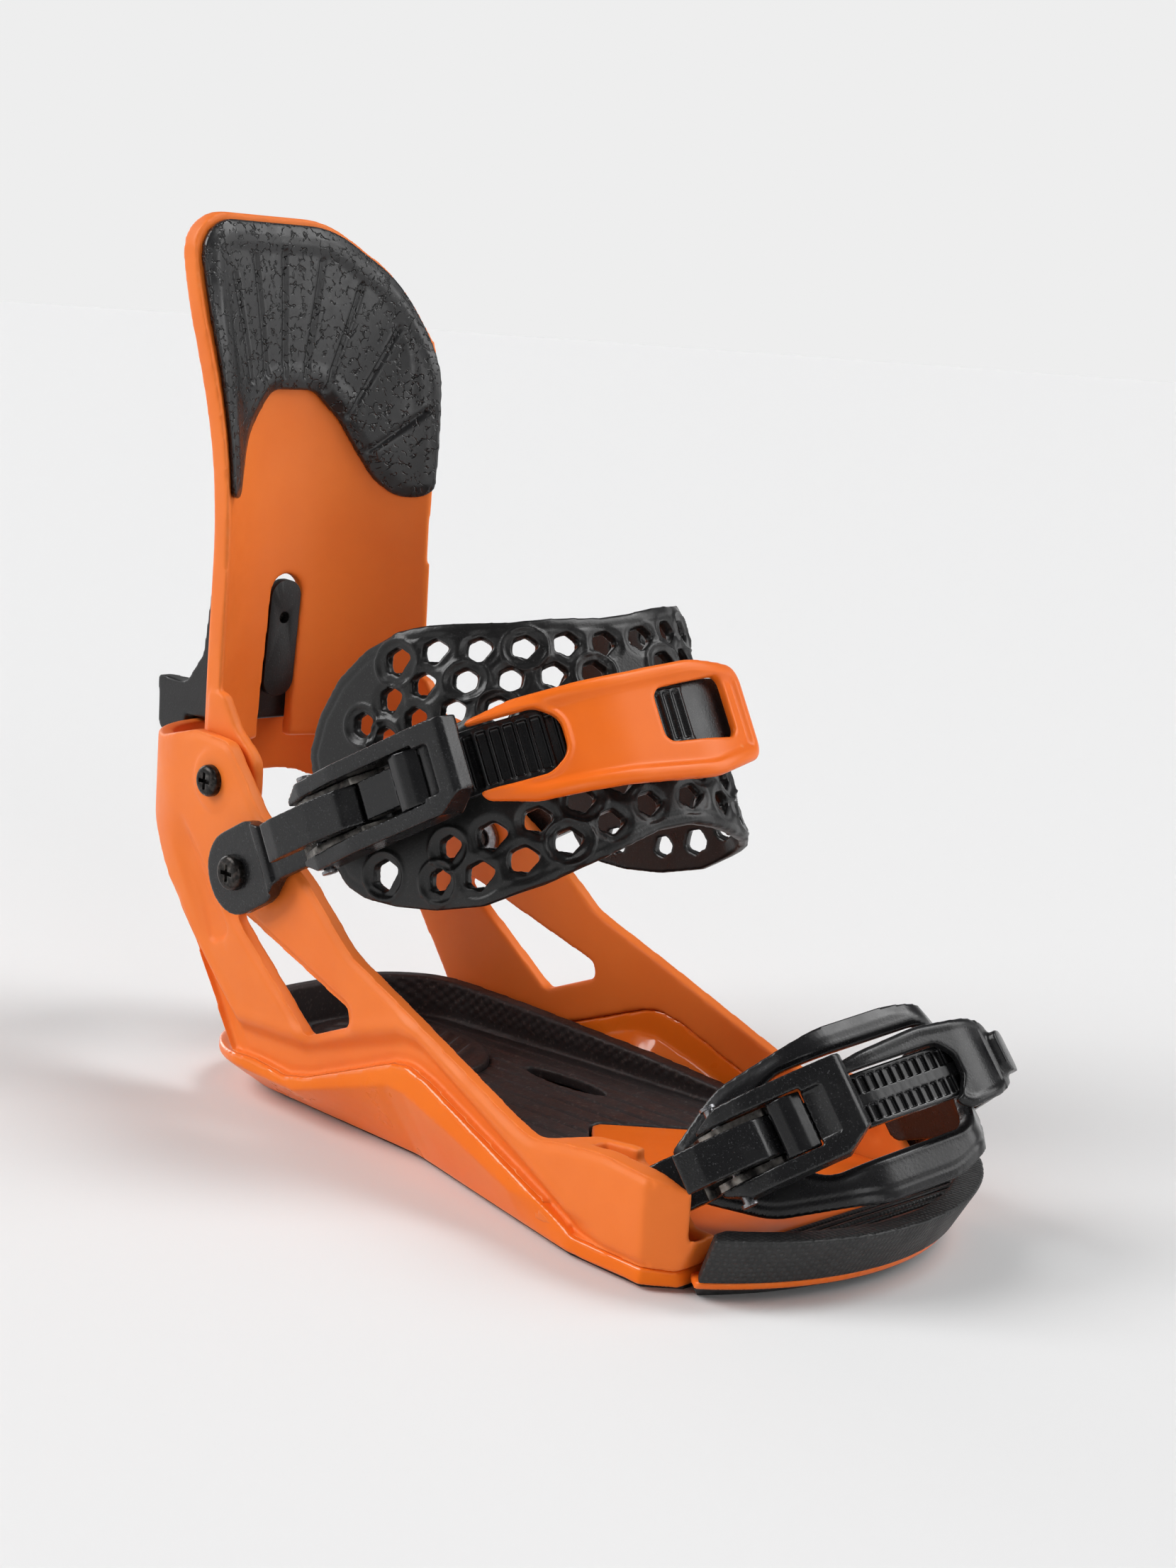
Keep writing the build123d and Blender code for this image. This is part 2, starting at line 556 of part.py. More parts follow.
# ---- ratchet buckles ---------------------------------------------------------------------------
class Buckle:
    """Ratchet buckle in its own frame: x along the strap, y across it, z out of its face."""

    def __init__(self, start, along, outward, length, width, link, plate):
        self.plane = Plane(origin=start, x_dir=along, z_dir=outward)
        self.length = length      # lever, end to end
        self.width = width
        self.link = link          # distance from the frame pivot to the lever's rear end
        self.pin_x = link + 0.13 * length
        self.pawl_x = link + 0.36 * length
        self.arm = 0.18 * width
        self.plate_x = link + plate * length   # where the lever's finger plate starts

    def side(self, points, radii, width, y=0.0):
        """Prism of a side view in x and z, width wide, placed in the row frame."""
        flat = rounded_face(points, radii)
        prism = extrude(Plane.XZ * flat, width / 2, both=True)
        return self.plane * (Pos(0, y, 0) * prism)

    def rod(self, x, z, r, y0, y1):
        return self.plane * y_rod(x, z, r, y0, y1)

    def base(self):
        """Channel with two cheeks: it is riveted to the link and the ladder runs through it."""
        x0 = self.link - 4
        x1 = self.link + 0.56 * self.length
        width = self.width - 2 * self.arm - 2 * GAP
        floor = self.side([(x0, -1), (x1, -1), (x1, 1), (x0, 1)], [0.5, 0.5, 0.5, 0.5], width)
        cheek_top = 9.3
        points = [(x0 + 2, 0), (x1 - 1, 0), (x1 - 1.5, 4), (self.pawl_x + 3, cheek_top),
                  (self.pin_x, cheek_top), (x0 + 4, 5)]
        for side in (-1, 1):
            y = side * (width / 2 - 1)
            floor += self.side(points, [0.5, 0.5, 1, 2, 2, 1], 2, y)
        floor -= self.rod(self.pin_x, PIN_Z, 1.5 + PIN_GAP, -20, 20)
        floor -= self.rod(self.pawl_x, PIN_Z, 1.2 + PIN_GAP, -20, 20)
        return floor

    def lever(self):
        """U-shaped lever: two side arms and a finger plate over the ladder's way in."""
        x0 = self.link
        x1 = self.link + self.length
        plate_x = self.plate_x
        inner = self.width - 2 * self.arm
        outline = [(x0, 3.5), (x0 + 6, 2), (x1 - 8, 3.5), (x1, 5), (x1 - 1, 12.5), (plate_x, 13.5),
                   (x0 + 0.35 * self.length, 13.5), (x0 + 0.12 * self.length, 10.5), (x0, 7)]
        body = self.side(outline, [2, 4, 4, 1.5, 3, 20, 20, 8, 2], self.width)
        inside = [(x0 - 5, -5), (plate_x - 1, -5), (plate_x - 1, 40), (x0 - 5, 40)]
        body -= self.side(inside, [0, 0, 0, 0], inner)
        under = [(plate_x - 5, -5), (x1 + 5, -5), (x1 + 5, 5.2), (plate_x - 5, 7.5)]
        body -= self.side(under, [0, 0, 0, 0], inner)
        scoop = self.rod(plate_x - 2, 21, 10.5, -inner / 2 + 1.2, inner / 2 - 1.2)
        body -= scoop
        corner = self.width / 2
        trim = make_face(Polyline((x1 - 10, -corner - 1), (x1 + 1, -corner - 1),
                                  (x1 + 1, -corner + 6), close=True))
        trim = self.plane * extrude(trim, 30, both=True)
        body -= trim
        nose = make_face(Polyline((x0 - 1, -corner - 1), (x0 + 9, -corner - 1), (x0 - 1, -corner + 4),
                                  close=True))
        for sketch in (nose, mirror(nose, Plane.XZ)):
            body -= self.plane * extrude(sketch, 30, both=True)
        body -= self.rod(self.pin_x, PIN_Z, 1.5 + PIN_GAP, -corner - 5, corner + 5)
        return body

    def drum(self):
        """Curved driver between the lever's arms that pushes the ladder on."""
        inner = self.width - 2 * self.arm - 2 * GAP
        x1 = self.plate_x - 1.3
        x0 = x1 - 0.5 * self.width + 5.0
        heel_x = self.pawl_x + 6.5
        foot = self.side([(heel_x, 6.4), (x1, 6.4), (x1, 11), (heel_x, 11)], [1, 1, 1, 1], inner - 5)
        top = [(x0 - 2, 9.9), (x1, 9.9), (x1, 10.6), (x1 - 3, 12.4), (x0 + 2, 13.4), (x0 - 2, 12)]
        return foot + self.side(top, [0.5, 0.3, 0.3, 4, 2, 1], inner)

    def release(self):
        """Release pawl: a sprung block between the arms that holds the ladder's teeth."""
        inner = self.width - 2 * self.arm - 4 - 4 * GAP
        x0 = self.link - 8
        x1 = self.pawl_x + 3.4
        outline = [(x0, 10.2), (self.pin_x + 3, 10.2), (self.pawl_x - 4, 5), (x1, 5), (x1 + 0.6, 9),
                   (x1 - 4, 13.6), (self.pin_x + 3, 14.8), (x0 + 6, 14.4), (x0, 12.6)]
        body = self.side(outline, [0.8, 3, 1, 0.5, 1, 3, 3, 3, 0.8], inner)
        body -= self.rod(self.pawl_x, PIN_Z, 2.5, -self.spring_y() - 0.4, -self.spring_y() + 4)
        return body - self.rod(self.pawl_x, PIN_Z, 1.2 + PIN_GAP, -20, 20)

    def spring_y(self):
        """Outer end of the spring, as a half width."""
        return self.width / 2 - self.arm - 3.4

    def lever_pin(self):
        half = self.width / 2 + 0.6
        pin = self.rod(self.pin_x, PIN_Z, 1.5, -half, half)
        for side in (-1, 1):
            pin += self.rod(self.pin_x, PIN_Z, 2.3, side * half, side * (half + 0.9))
        return pin

    def pawl_pin(self):
        half = self.width / 2 - self.arm - GAP
        return self.rod(self.pawl_x, PIN_Z, 1.2, -half, half)

    def spring(self):
        """Torsion spring wound round the pawl pin."""
        coil = self.rod(self.pawl_x, PIN_Z, 2.1, -self.spring_y(), -self.spring_y() + 3.5)
        return coil - self.rod(self.pawl_x, PIN_Z, 1.25, -30, 30)


def run_heading(line, i):
    """Direction of a strap line's run from its point i, in the strap's plane."""
    (x0, y0), (x1, y1) = line[i:i + 2]
    return atan2(y1 - y0, x1 - x0)


def strap_buckle(plane, line, i, **size):
    """Buckle on the straight run from point i of a strap line, its floor inside the ladder."""
    heading = run_heading(line, i)
    along = plane.x_dir * cos(heading) + plane.y_dir * sin(heading)
    outward = plane.x_dir * sin(heading) - plane.y_dir * cos(heading)
    start = plane.from_local_coords(Vector(*line[i], 0))
    return Buckle(start - outward * LADDER_RISE, along, outward, **size)


def ankle_buckle():
    return strap_buckle(ANKLE_PLANE, ANKLE_LINE, 0, length=68, width=26.5, link=40, plate=0.83)


def toe_buckle():
    return strap_buckle(TOE_PLANE, TOE_LINE, 1, length=43, width=25, link=9.5, plate=0.70)


# ---- ankle strap -------------------------------------------------------------------------------
LINK_T = 3.8
LINK_Y = 54.4            # inner face of the ankle links
LINK_BEND_X = 22.0       # where the outer link turns towards the boot


def link_outline():
    """Outline of an ankle link: round end at the screw, narrow tail under the buckle."""
    return rounded_face([(-13, -13), (12, -13), (20, -8.1), (62, -8.1), (62, 8.1), (20, 8.1),
                         (12, 13), (-13, 13)], [12.5, 10, 6, 3, 3, 6, 10, 12.5])


def link_plate(side):
    """Flat link that turns on the ankle screw; its long end carries the buckle or the strap."""
    heading = run_heading(ANKLE_LINE, 0) if side < 0 else 0
    drop = (62 - LINK_BEND_X) * sin(heading)
    edge = [(-20, 0), (LINK_BEND_X, 0), (62, -drop), (62, LINK_T - drop), (LINK_BEND_X, LINK_T),
            (19, LINK_T), (18, LINK_T + 1.6), (15, LINK_T + 1.6), (14, LINK_T), (-20, LINK_T)]
    frame = Plane(origin=(ANKLE_PIVOT[0], side * LINK_Y, ANKLE_PIVOT[1]),
                  x_dir=ANKLE_PLANE.x_dir, z_dir=(0, side, 0))
    plate = frame * extrude(Plane.XZ * face(edge), 20, both=True)
    plate &= frame * extrude(Pos(0, 0, -30) * link_outline(), 60)
    return plate - y_rod(*ANKLE_PIVOT, 3 + PIN_GAP, side * 40, side * 70)


def tooth_row(plane, x, y, heading, count, width):
    """Row of ramp-shaped teeth on a straight run, from the point x, y in the strap's plane."""
    tooth = face([(-2.1, -0.7), (2.1, -0.7), (2.1, -1.1), (-1.3, -1.9), (-2.1, -1.9)])
    frame = plane * Pos(x, y, 0) * Rot(0, 0, degrees(heading))
    return [frame * Pos(i * TOOTH_PITCH, 0, 0) * extrude(tooth, width / 2, both=True)
            for i in range(count)]


def make_ladder(plane, line, radii, width, tail, start, full_x, end_y, rows):
    """Toothed strap: a narrow tail in the buckle, full width from full_x to the tower or bridge."""
    body = ribbon(plane, line, radii, 1.2, -0.8, width - 5.2)
    rails = ribbon(plane, line, radii, 1.2, -1.5, width - 5.2)
    rails -= ribbon(plane, line, radii, 3, -3, width - 8.4)
    body += rails
    wide = block_in(plane, full_x, 200, -90, end_y)
    narrow = block_in(plane, start, full_x + 1, -90, end_y, -tail / 2, tail / 2)
    body &= wide + narrow
    for x, y, heading, count in rows:
        for tooth in tooth_row(plane, x, y, heading, count, tail - 2):
            body += tooth
    return body


def tooth_rows(line, firsts, counts):
    """Start point, heading and count of the teeth on each straight run of a ladder."""
    rows = []
    for (i, first), count in zip(firsts, counts):
        heading = run_heading(line, i)
        x, y = line[i]
        rows.append((x + first * cos(heading), y + first * sin(heading), heading, count))
    return rows


def make_ankle_ladder():
    rows = tooth_rows(ANKLE_LINE, [(0, 66), (1, 17), (2, 16)], [5, 2, 1])
    return make_ladder(ANKLE_PLANE, ANKLE_LINE, ANKLE_RADII, LADDER_W, 11.8, 62, 97, -4, rows)


def make_ankle_bridge():
    """Stiff shell that joins the ladder's window to the inner strap's window."""
    body = ribbon(ANKLE_PLANE, ANKLE_LINE, ANKLE_RADII, -2.4, -6.4, 44)
    outline = rounded_face([(-58, 12.5), (-58, -13.5), (-44, -16), (-20, -18), (14, -21), (38, -16),
                            (38, 12), (14, 15), (-20, 14), (-44, 13.5)],
                           [4, 4, 12, 30, 10, 6, 6, 10, 30, 12])
    near = rounded_face([(-80, 9.6), (-80, -9.6), (-34, -9.6), (-29, -4), (-29, 4), (-34, 9.6)],
                        [0, 0, 5, 5, 5, 5])
    far = rounded_face([(0, -8), (0, 8), (27, 9.5), (27, -9.5)], [3, 3, 3, 3])
    body &= block_in(ANKLE_PLANE, 103.5, 160, -90, 36)
    body &= shaped(ANKLE_PLANE, Plane.YZ, outline)
    body -= shaped(ANKLE_PLANE, Plane.YZ, near)
    return body - shaped(ANKLE_PLANE, Plane.YZ, far)


def make_ankle_pad():
    """Broad moulded pad under the ankle strap, as one closed band of its outer shape."""
    body = ribbon(ANKLE_PLANE, ANKLE_LINE, ANKLE_RADII, 13.0, 8.2, 84)
    side = rounded_face([(39, 8), (46, 30), (64, 44), (90, 46), (112, 38.5), (150, 34.5),
                         (150, -28), (118, -31), (94, -39), (70, -34.5), (50, -26), (39, -13)],
                        [6, 12, 16, 20, 20, 2, 2, 20, 20, 16, 12, 6])
    return body & shaped(ANKLE_PLANE, Plane.XZ, side)


def make_ankle_far_strap():
    """Flat strap from the inner link round to the bridge's far window."""
    body = ribbon(ANKLE_PLANE, ANKLE_LINE, ANKLE_RADII, 1.2, -1.4, 20)
    return body & block_in(ANKLE_PLANE, 30, 160, -3, 90)


# ---- toe strap ---------------------------------------------------------------------------------
def make_toe_link(side):
    """End of the toe strap that turns on a pin inside the toe pocket's slot."""
    if side < 0:
        line = [(0, -51.8), (8.5, -51.8), (33.7, -27.9)]
    else:
        line = [(34, 45.9), (8.8, 51.8), (0, 51.8)]
    band = ribbon(TOE_PLANE, line, [6], 1.7, -1.7, 15)
    eye = y_rod(*TOE_PIVOT, 7.5, side * 50.1, side * 53.5)
    return band + eye - y_rod(*TOE_PIVOT, 2.5 + PIN_GAP, side * 40, side * 70)


def make_toe_ladder():
    rows = tooth_rows(TOE_LINE, [(1, 28), (2, 12)], [3, 5])
    return make_ladder(TOE_PLANE, TOE_LINE, TOE_RADII, TOE_LADDER_W, 10.6, 35, 50, 18, rows)


def make_toe_tower():
    """Raised tongue over the toe that carries the ladder and joins the two bands."""
    body = ribbon(TOE_PLANE, TOE_LINE, TOE_RADII, -2.2, -5.2, 28)
    outline = rounded_face([(-14, -11), (-14, 11), (6, 13), (32, 9), (32, -9), (6, -13)],
                           [3, 3, 8, 4, 4, 8])
    window = rounded_face([(-60, -8.4), (-60, 8.4), (9, 8.4), (13, 0), (9, -8.4)], [0, 0, 3, 3, 3])
    body &= block_in(TOE_PLANE, 40, 120, -60, 32)
    body &= shaped(TOE_PLANE, Plane.YZ, outline)
    body -= shaped(TOE_PLANE, Plane.YZ, window)
    tab = ribbon(TOE_PLANE, TOE_LINE, TOE_RADII, -3.4, -8.2, 13)
    return body + (tab & block_in(TOE_PLANE, 40, 120, 27.5, 36))


def make_toe_cap():
    """Open cap of two bands: one over the toe and one round its front."""
    body = ribbon(TOE_PLANE, TOE_LINE, TOE_RADII, 12, 8, 56)
    outline = rounded_face([(-46, -5), (-34, -19), (-8, -27), (14, -27), (34, -18), (46, -5), (46, 9),
                            (34, 20), (14, 25), (-8, 25), (-34, 20), (-46, 9)],
                           [4, 12, 14, 14, 12, 4, 4, 12, 14, 14, 12, 4])
    opening = rounded_face([(-33, 1), (-20, -14), (20, -14), (32, -3), (34, 8), (22, 16.5),
                            (-22, 16.5), (-34, 9)], [5, 9, 9, 5, 5, 12, 12, 5])
    body &= block_in(TOE_PLANE, 8, 120, -60, 60)
    body &= shaped(TOE_PLANE, Plane.YZ, outline)
    return body - shaped(TOE_PLANE, Plane.YZ, opening)


def make_toe_far_strap():
    body = ribbon(TOE_PLANE, TOE_LINE, TOE_RADII, 1.4, -1.4, 15)
    return body & block_in(TOE_PLANE, 26, 120, 18.4, 90)


def toe_pin(side):
    return y_rod(*TOE_PIVOT, 2.5, side * 46.8, side * 59.2)


# ---- assembly ----------------------------------------------------------------------------------
def buckle_nodes(prefix, buckle):
    save(prefix + "_buckle_base", buckle.base())
    save(prefix + "_lever", buckle.lever())
    save(prefix + "_drum", buckle.drum())
    save(prefix + "_release", buckle.release())
    save(prefix + "_lever_pin", buckle.lever_pin())
    save(prefix + "_pawl_pin", buckle.pawl_pin())
    save(prefix + "_spring", buckle.spring())


def main():
    os.makedirs("parts", exist_ok=True)
    base = save("baseplate", make_baseplate())
    save("base_gasket", make_gasket())
    save("mounting_disc", make_disc())
    frame = save("heel_chassis", make_chassis(base))
    save("chassis_screws", *make_frame_screws())
    save("footbed", make_footbed(frame + base))
    save("heel_pad", make_heel_pad())
    core = save("ramp_plate", make_ramp_core())
    save("toe_ramp", make_ramp(core))
    save("ramp_sole", make_ramp_sole())
    save("highback", make_highback())
    save("highback_pad", make_highback_pad())
    save("lean_plate", make_lean_plate())
    save("lean_block", make_lean_block())
    save("lean_screw", make_lean_screw())
    hx, hz = HIGHBACK_PIVOT
    ax, az = ANKLE_PIVOT
    head_y = wall_y(hx) + 0.6
    save("highback_screws", *[pan_screw(hx, hz, s, head_y, 38) for s in (-1, 1)])
    save("ankle_screws", *[pan_screw(ax, az, s, LINK_Y + LINK_T, 44, 5.5) for s in (-1, 1)])
    save("ankle_nuts", *[t_nut(ax, az, s, wall_y(ax) - WALL_T - 0.02) for s in (-1, 1)])
    save("ankle_link", link_plate(-1))
    save("ankle_far_link", link_plate(1))
    buckle_nodes("ankle", ankle_buckle())
    save("ankle_ladder", make_ankle_ladder())
    save("ankle_bridge", make_ankle_bridge())
    save("ankle_pad", make_ankle_pad())
    save("ankle_far_strap", make_ankle_far_strap())
    save("toe_link", make_toe_link(-1))
    save("toe_far_link", make_toe_link(1))
    save("toe_pins", *[toe_pin(s) for s in (-1, 1)])
    buckle_nodes("toe", toe_buckle())
    save("toe_ladder", make_toe_ladder())
    save("toe_tower", make_toe_tower())
    save("toe_cap", make_toe_cap())
    save("toe_far_strap", make_toe_far_strap())


if __name__ == "__main__":
    main()
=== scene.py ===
import json
import math

import bmesh
import bpy
import numpy as np
from mathutils import Matrix, Vector
from mathutils.bvhtree import BVHTree


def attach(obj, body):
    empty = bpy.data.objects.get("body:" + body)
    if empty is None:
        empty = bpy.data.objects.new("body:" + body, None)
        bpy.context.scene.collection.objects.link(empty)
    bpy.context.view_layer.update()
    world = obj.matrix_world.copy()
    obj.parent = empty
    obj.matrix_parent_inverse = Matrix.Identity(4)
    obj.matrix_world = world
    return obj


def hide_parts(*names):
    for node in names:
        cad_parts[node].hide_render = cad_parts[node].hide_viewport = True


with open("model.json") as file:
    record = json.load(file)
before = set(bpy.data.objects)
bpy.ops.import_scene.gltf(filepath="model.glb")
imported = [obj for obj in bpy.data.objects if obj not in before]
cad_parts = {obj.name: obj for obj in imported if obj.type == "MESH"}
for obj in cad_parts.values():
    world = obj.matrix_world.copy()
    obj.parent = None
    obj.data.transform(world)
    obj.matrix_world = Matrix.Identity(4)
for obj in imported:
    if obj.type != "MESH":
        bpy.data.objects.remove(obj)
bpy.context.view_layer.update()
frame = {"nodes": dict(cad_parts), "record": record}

# Snowboard strap binding. Shapes are worked out in millimetres in the row frame
# (+X toe, +Y inner side, +Z up) and written to meshes in metres.
MM = 0.001
CONTACT_GAP = 0.3       # between a pad and the face behind it
NODES = frame["nodes"]


# ---- camera, light and floor ------------------------------------------------------------------
VIEW_AZIMUTH, VIEW_ELEVATION, VIEW_ROLL = 43.791, 10.599, 3.984    # degrees
VIEW_TARGET = (2.743, 0.0, 113.813)
VIEW_DISTANCE = 749.83
SENSOR_WIDTH, FOCAL_LENGTH = 36.0, 58.607


def make_camera():
    """Camera at the product photograph's viewing angle, slightly rolled."""
    azimuth, elevation, roll = (math.radians(a)
                                for a in (VIEW_AZIMUTH, VIEW_ELEVATION, VIEW_ROLL))
    target = Vector(VIEW_TARGET) * MM
    distance = VIEW_DISTANCE * MM
    back = Vector((math.sin(azimuth) * math.cos(elevation),
                   -math.cos(azimuth) * math.cos(elevation), math.sin(elevation)))
    right = Vector((math.cos(azimuth), math.sin(azimuth), 0))
    up = back.cross(right)
    right, up = (right * math.cos(roll) + up * math.sin(roll),
                 up * math.cos(roll) - right * math.sin(roll))
    turn = Matrix((right, up, back)).transposed()
    data = bpy.data.cameras.new("camera")
    data.sensor_width = SENSOR_WIDTH
    data.lens = FOCAL_LENGTH
    data.clip_start = 0.01
    data.clip_end = 50
    camera = bpy.data.objects.new("camera", data)
    camera.matrix_world = Matrix.Translation(target + back * distance) @ turn.to_4x4()
    bpy.context.scene.collection.objects.link(camera)
    bpy.context.scene.camera = camera


def sun_light(name, direction, strength, spread):
    data = bpy.data.lights.new(name, "SUN")
    data.energy = strength
    data.angle = math.radians(spread)
    light = bpy.data.objects.new(name, data)
    light.rotation_mode = "QUATERNION"
    light.rotation_quaternion = Vector(direction).to_track_quat("-Z", "Y")
    bpy.context.scene.collection.objects.link(light)


SOFT_BOXES = [  # direction, half angle in degrees, brightness
    ((-0.46, -0.62, 0.64), 18, 7.0),
    ((0.55, 0.55, 0.62), 17, 3.6),
    ((0.80, 0.58, 0.16), 14, 1.8),
    ((0.92, -0.38, 0.34), 9, 3.0),
    ((-0.95, 0.15, 0.30), 12, 2.6),
]
BACKDROP = (0.855, 0.855, 0.855, 1)   # near the horizon
OVERHEAD = (0.13, 0.13, 0.135, 1)
FLOOR = (0.765, 0.765, 0.765, 1)


def soft_box(nodes, links, coords, light, direction, size, power):
    """Add a bright round patch of sky to the light."""
    aim = nodes.new("ShaderNodeVectorMath")
    aim.operation = "DOT_PRODUCT"
    links.new(coords.outputs["Generated"], aim.inputs[0])
    aim.inputs[1].default_value = Vector(direction).normalized()
    patch = nodes.new("ShaderNodeMapRange")
    patch.interpolation_type = "SMOOTHSTEP"
    links.new(aim.outputs["Value"], patch.inputs["Value"])
    patch.inputs["From Min"].default_value = math.cos(math.radians(size + 4))
    patch.inputs["From Max"].default_value = math.cos(math.radians(size - 4))
    patch.inputs["To Max"].default_value = power
    total = nodes.new("ShaderNodeVectorMath")
    total.operation = "ADD"
    links.new(light, total.inputs[0])
    links.new(patch.outputs[0], total.inputs[1])
    return total.outputs[0]


def make_world():
    """Pale horizon, dim overhead, and soft boxes above and on both sides."""
    scene = bpy.context.scene
    scene.view_settings.view_transform = "Standard"
    world = bpy.data.worlds.new("studio")
    scene.world = world
    world.use_nodes = True
    nodes, links = world.node_tree.nodes, world.node_tree.links
    coords = nodes.new("ShaderNodeTexCoord")
    split = nodes.new("ShaderNodeSeparateXYZ")
    ramp = nodes.new("ShaderNodeValToRGB")
    links.new(coords.outputs["Generated"], split.inputs[0])
    links.new(split.outputs["Z"], ramp.inputs[0])
    ramp.color_ramp.elements[0].position = 0.13
    ramp.color_ramp.elements[0].color = BACKDROP
    ramp.color_ramp.elements[1].position = 0.3
    ramp.color_ramp.elements[1].color = OVERHEAD
    light = ramp.outputs[0]
    for direction, size, power in SOFT_BOXES:
        light = soft_box(nodes, links, coords, light, direction, size, power)
    links.new(light, nodes["Background"].inputs["Color"])


def make_floor():
    """Wide pale floor of matt paper."""
    bpy.ops.mesh.primitive_circle_add(vertices=96, radius=18, fill_type="NGON")
    floor = bpy.context.object
    floor.name = "floor"
    paint = bpy.data.materials.new("floor_paper")
    paint.use_nodes = True
    shader = paint.node_tree.nodes["Principled BSDF"]
    shader.inputs["Base Color"].default_value = FLOOR
    shader.inputs["Roughness"].default_value = 0.9
    shader.inputs["Specular IOR Level"].default_value = 0.1
    floor.data.materials.append(paint)


# ---- materials --------------------------------------------------------------------------------
class Shade:
    """Small wrapper that builds one procedural material."""

    def __init__(self, name, colour, roughness, coat=0.0, coat_roughness=0.1, metallic=0.0,
                 specular=0.5):
        self.material = bpy.data.materials.new(name)
        self.material.use_nodes = True
        self.nodes = self.material.node_tree.nodes
        self.links = self.material.node_tree.links
        self.shader = self.nodes["Principled BSDF"]
        self.shader.inputs["Base Color"].default_value = (*colour, 1)
        self.shader.inputs["Roughness"].default_value = roughness
        self.shader.inputs["Metallic"].default_value = metallic
        self.shader.inputs["Specular IOR Level"].default_value = specular
        if coat:
            self.shader.inputs["Coat Weight"].default_value = coat
            self.shader.inputs["Coat Roughness"].default_value = coat_roughness
        self.coords = self.nodes.new("ShaderNodeTexCoord").outputs["Object"]
        self.bumps = []

    def new(self, kind, **values):
        node = self.nodes.new(kind)
        for key, value in values.items():
            if hasattr(node, key):
                setattr(node, key, value)
            else:
                node.inputs[key].default_value = value
        return node

    def noise(self, scale, detail=3.0, roughness=0.5, vector=None):
        node = self.new("ShaderNodeTexNoise", Scale=scale, Detail=detail, Roughness=roughness)
        self.links.new(vector or self.coords, node.inputs["Vector"])
        return node.outputs["Fac"]

    def cells(self, scale, feature="DISTANCE_TO_EDGE", vector=None, randomness=1.0):
        node = self.new("ShaderNodeTexVoronoi", feature=feature, Scale=scale, Randomness=randomness)
        self.links.new(vector or self.coords, node.inputs["Vector"])
        return node.outputs["Distance"]

    def stretched(self, scale):
        """Object coordinates scaled by three factors."""
        node = self.new("ShaderNodeMapping")
        node.inputs["Scale"].default_value = scale
        self.links.new(self.coords, node.inputs["Vector"])
        return node.outputs["Vector"]

    def spread(self, value, low, high, to_low=0.0, to_high=1.0):
        """Value remapped from low..high."""
        node = self.new("ShaderNodeMapRange")
        self.links.new(value, node.inputs["Value"])
        for key, number in (("From Min", low), ("From Max", high), ("To Min", to_low),
                            ("To Max", to_high)):
            node.inputs[key].default_value = number
        return node.outputs["Result"]

    def maths(self, operation, first, second):
        node = self.new("ShaderNodeMath", operation=operation)
        for socket, value in zip(node.inputs, (first, second)):
            if isinstance(value, (int, float)):
                socket.default_value = value
            else:
                self.links.new(value, socket)
        return node.outputs[0]

    def tint(self, value, colour_a, colour_b):
        """Base colour mixed between two by value."""
        node = self.new("ShaderNodeMix", data_type="RGBA")
        self.links.new(value, node.inputs["Factor"])
        node.inputs[6].default_value = (*colour_a, 1)
        node.inputs[7].default_value = (*colour_b, 1)
        self.links.new(node.outputs[2], self.shader.inputs["Base Color"])
        return node

    def edge_wear_and_highlight(self, amount, colour):
        """Lighter colour along sharp edges, over what the base colour is now: scuffed wear, and on
        the ladder a painted highlight.
        """
        geometry = self.new("ShaderNodeNewGeometry")
        edge = self.spread(geometry.outputs["Pointiness"], 0.53, 0.62, 0.0, amount)
        # patchy noise that breaks up the edge colour, both the scuffs and the ladder's painted
        # highlight
        scuff_and_glint_breakup = self.spread(self.noise(260, 4), 0.4, 0.65)
        factor = self.maths("MULTIPLY", edge, scuff_and_glint_breakup)
        mix = self.new("ShaderNodeMix", data_type="RGBA")
        self.links.new(factor, mix.inputs["Factor"])
        socket = self.shader.inputs["Base Color"]
        if socket.links:
            self.links.new(socket.links[0].from_socket, mix.inputs[6])
        else:
            mix.inputs[6].default_value = socket.default_value
        mix.inputs[7].default_value = (*colour, 1)
        self.links.new(mix.outputs[2], socket)

    def gloss(self, value, low, high):
        """Roughness varied between low and high by value."""
        self.links.new(self.spread(value, 0.3, 0.7, low, high), self.shader.inputs["Roughness"])

    def bump(self, value, height_mm, strength=1.0):
        node = self.new("ShaderNodeBump", Strength=strength, Distance=height_mm * MM)
        self.links.new(value, node.inputs["Height"])
        if self.bumps:
            self.links.new(self.bumps[-1], node.inputs["Normal"])
        self.bumps.append(node.outputs["Normal"])
        self.links.new(node.outputs["Normal"], self.shader.inputs["Normal"])


def moulded_orange(name, colour, dark, roughness, grain):
    """Injection-moulded orange plastic with a fine spark-eroded grain."""
    shade = Shade(name, colour, roughness, specular=0.45)
    shade.shader.inputs["Specular Tint"].default_value = (1.0, 0.74, 0.56, 1)
    shade.tint(shade.spread(shade.noise(28, 4), 0.35, 0.7), colour, dark)
    shade.edge_wear_and_highlight(0.5, (0.95, 0.42, 0.18))
    shade.gloss(shade.noise(95, 3), roughness - 0.05, roughness + 0.08)
    shade.bump(shade.noise(2600, 2), grain, 0.55)
    shade.bump(shade.noise(22, 1), 0.12, 0.35)
    return shade.material


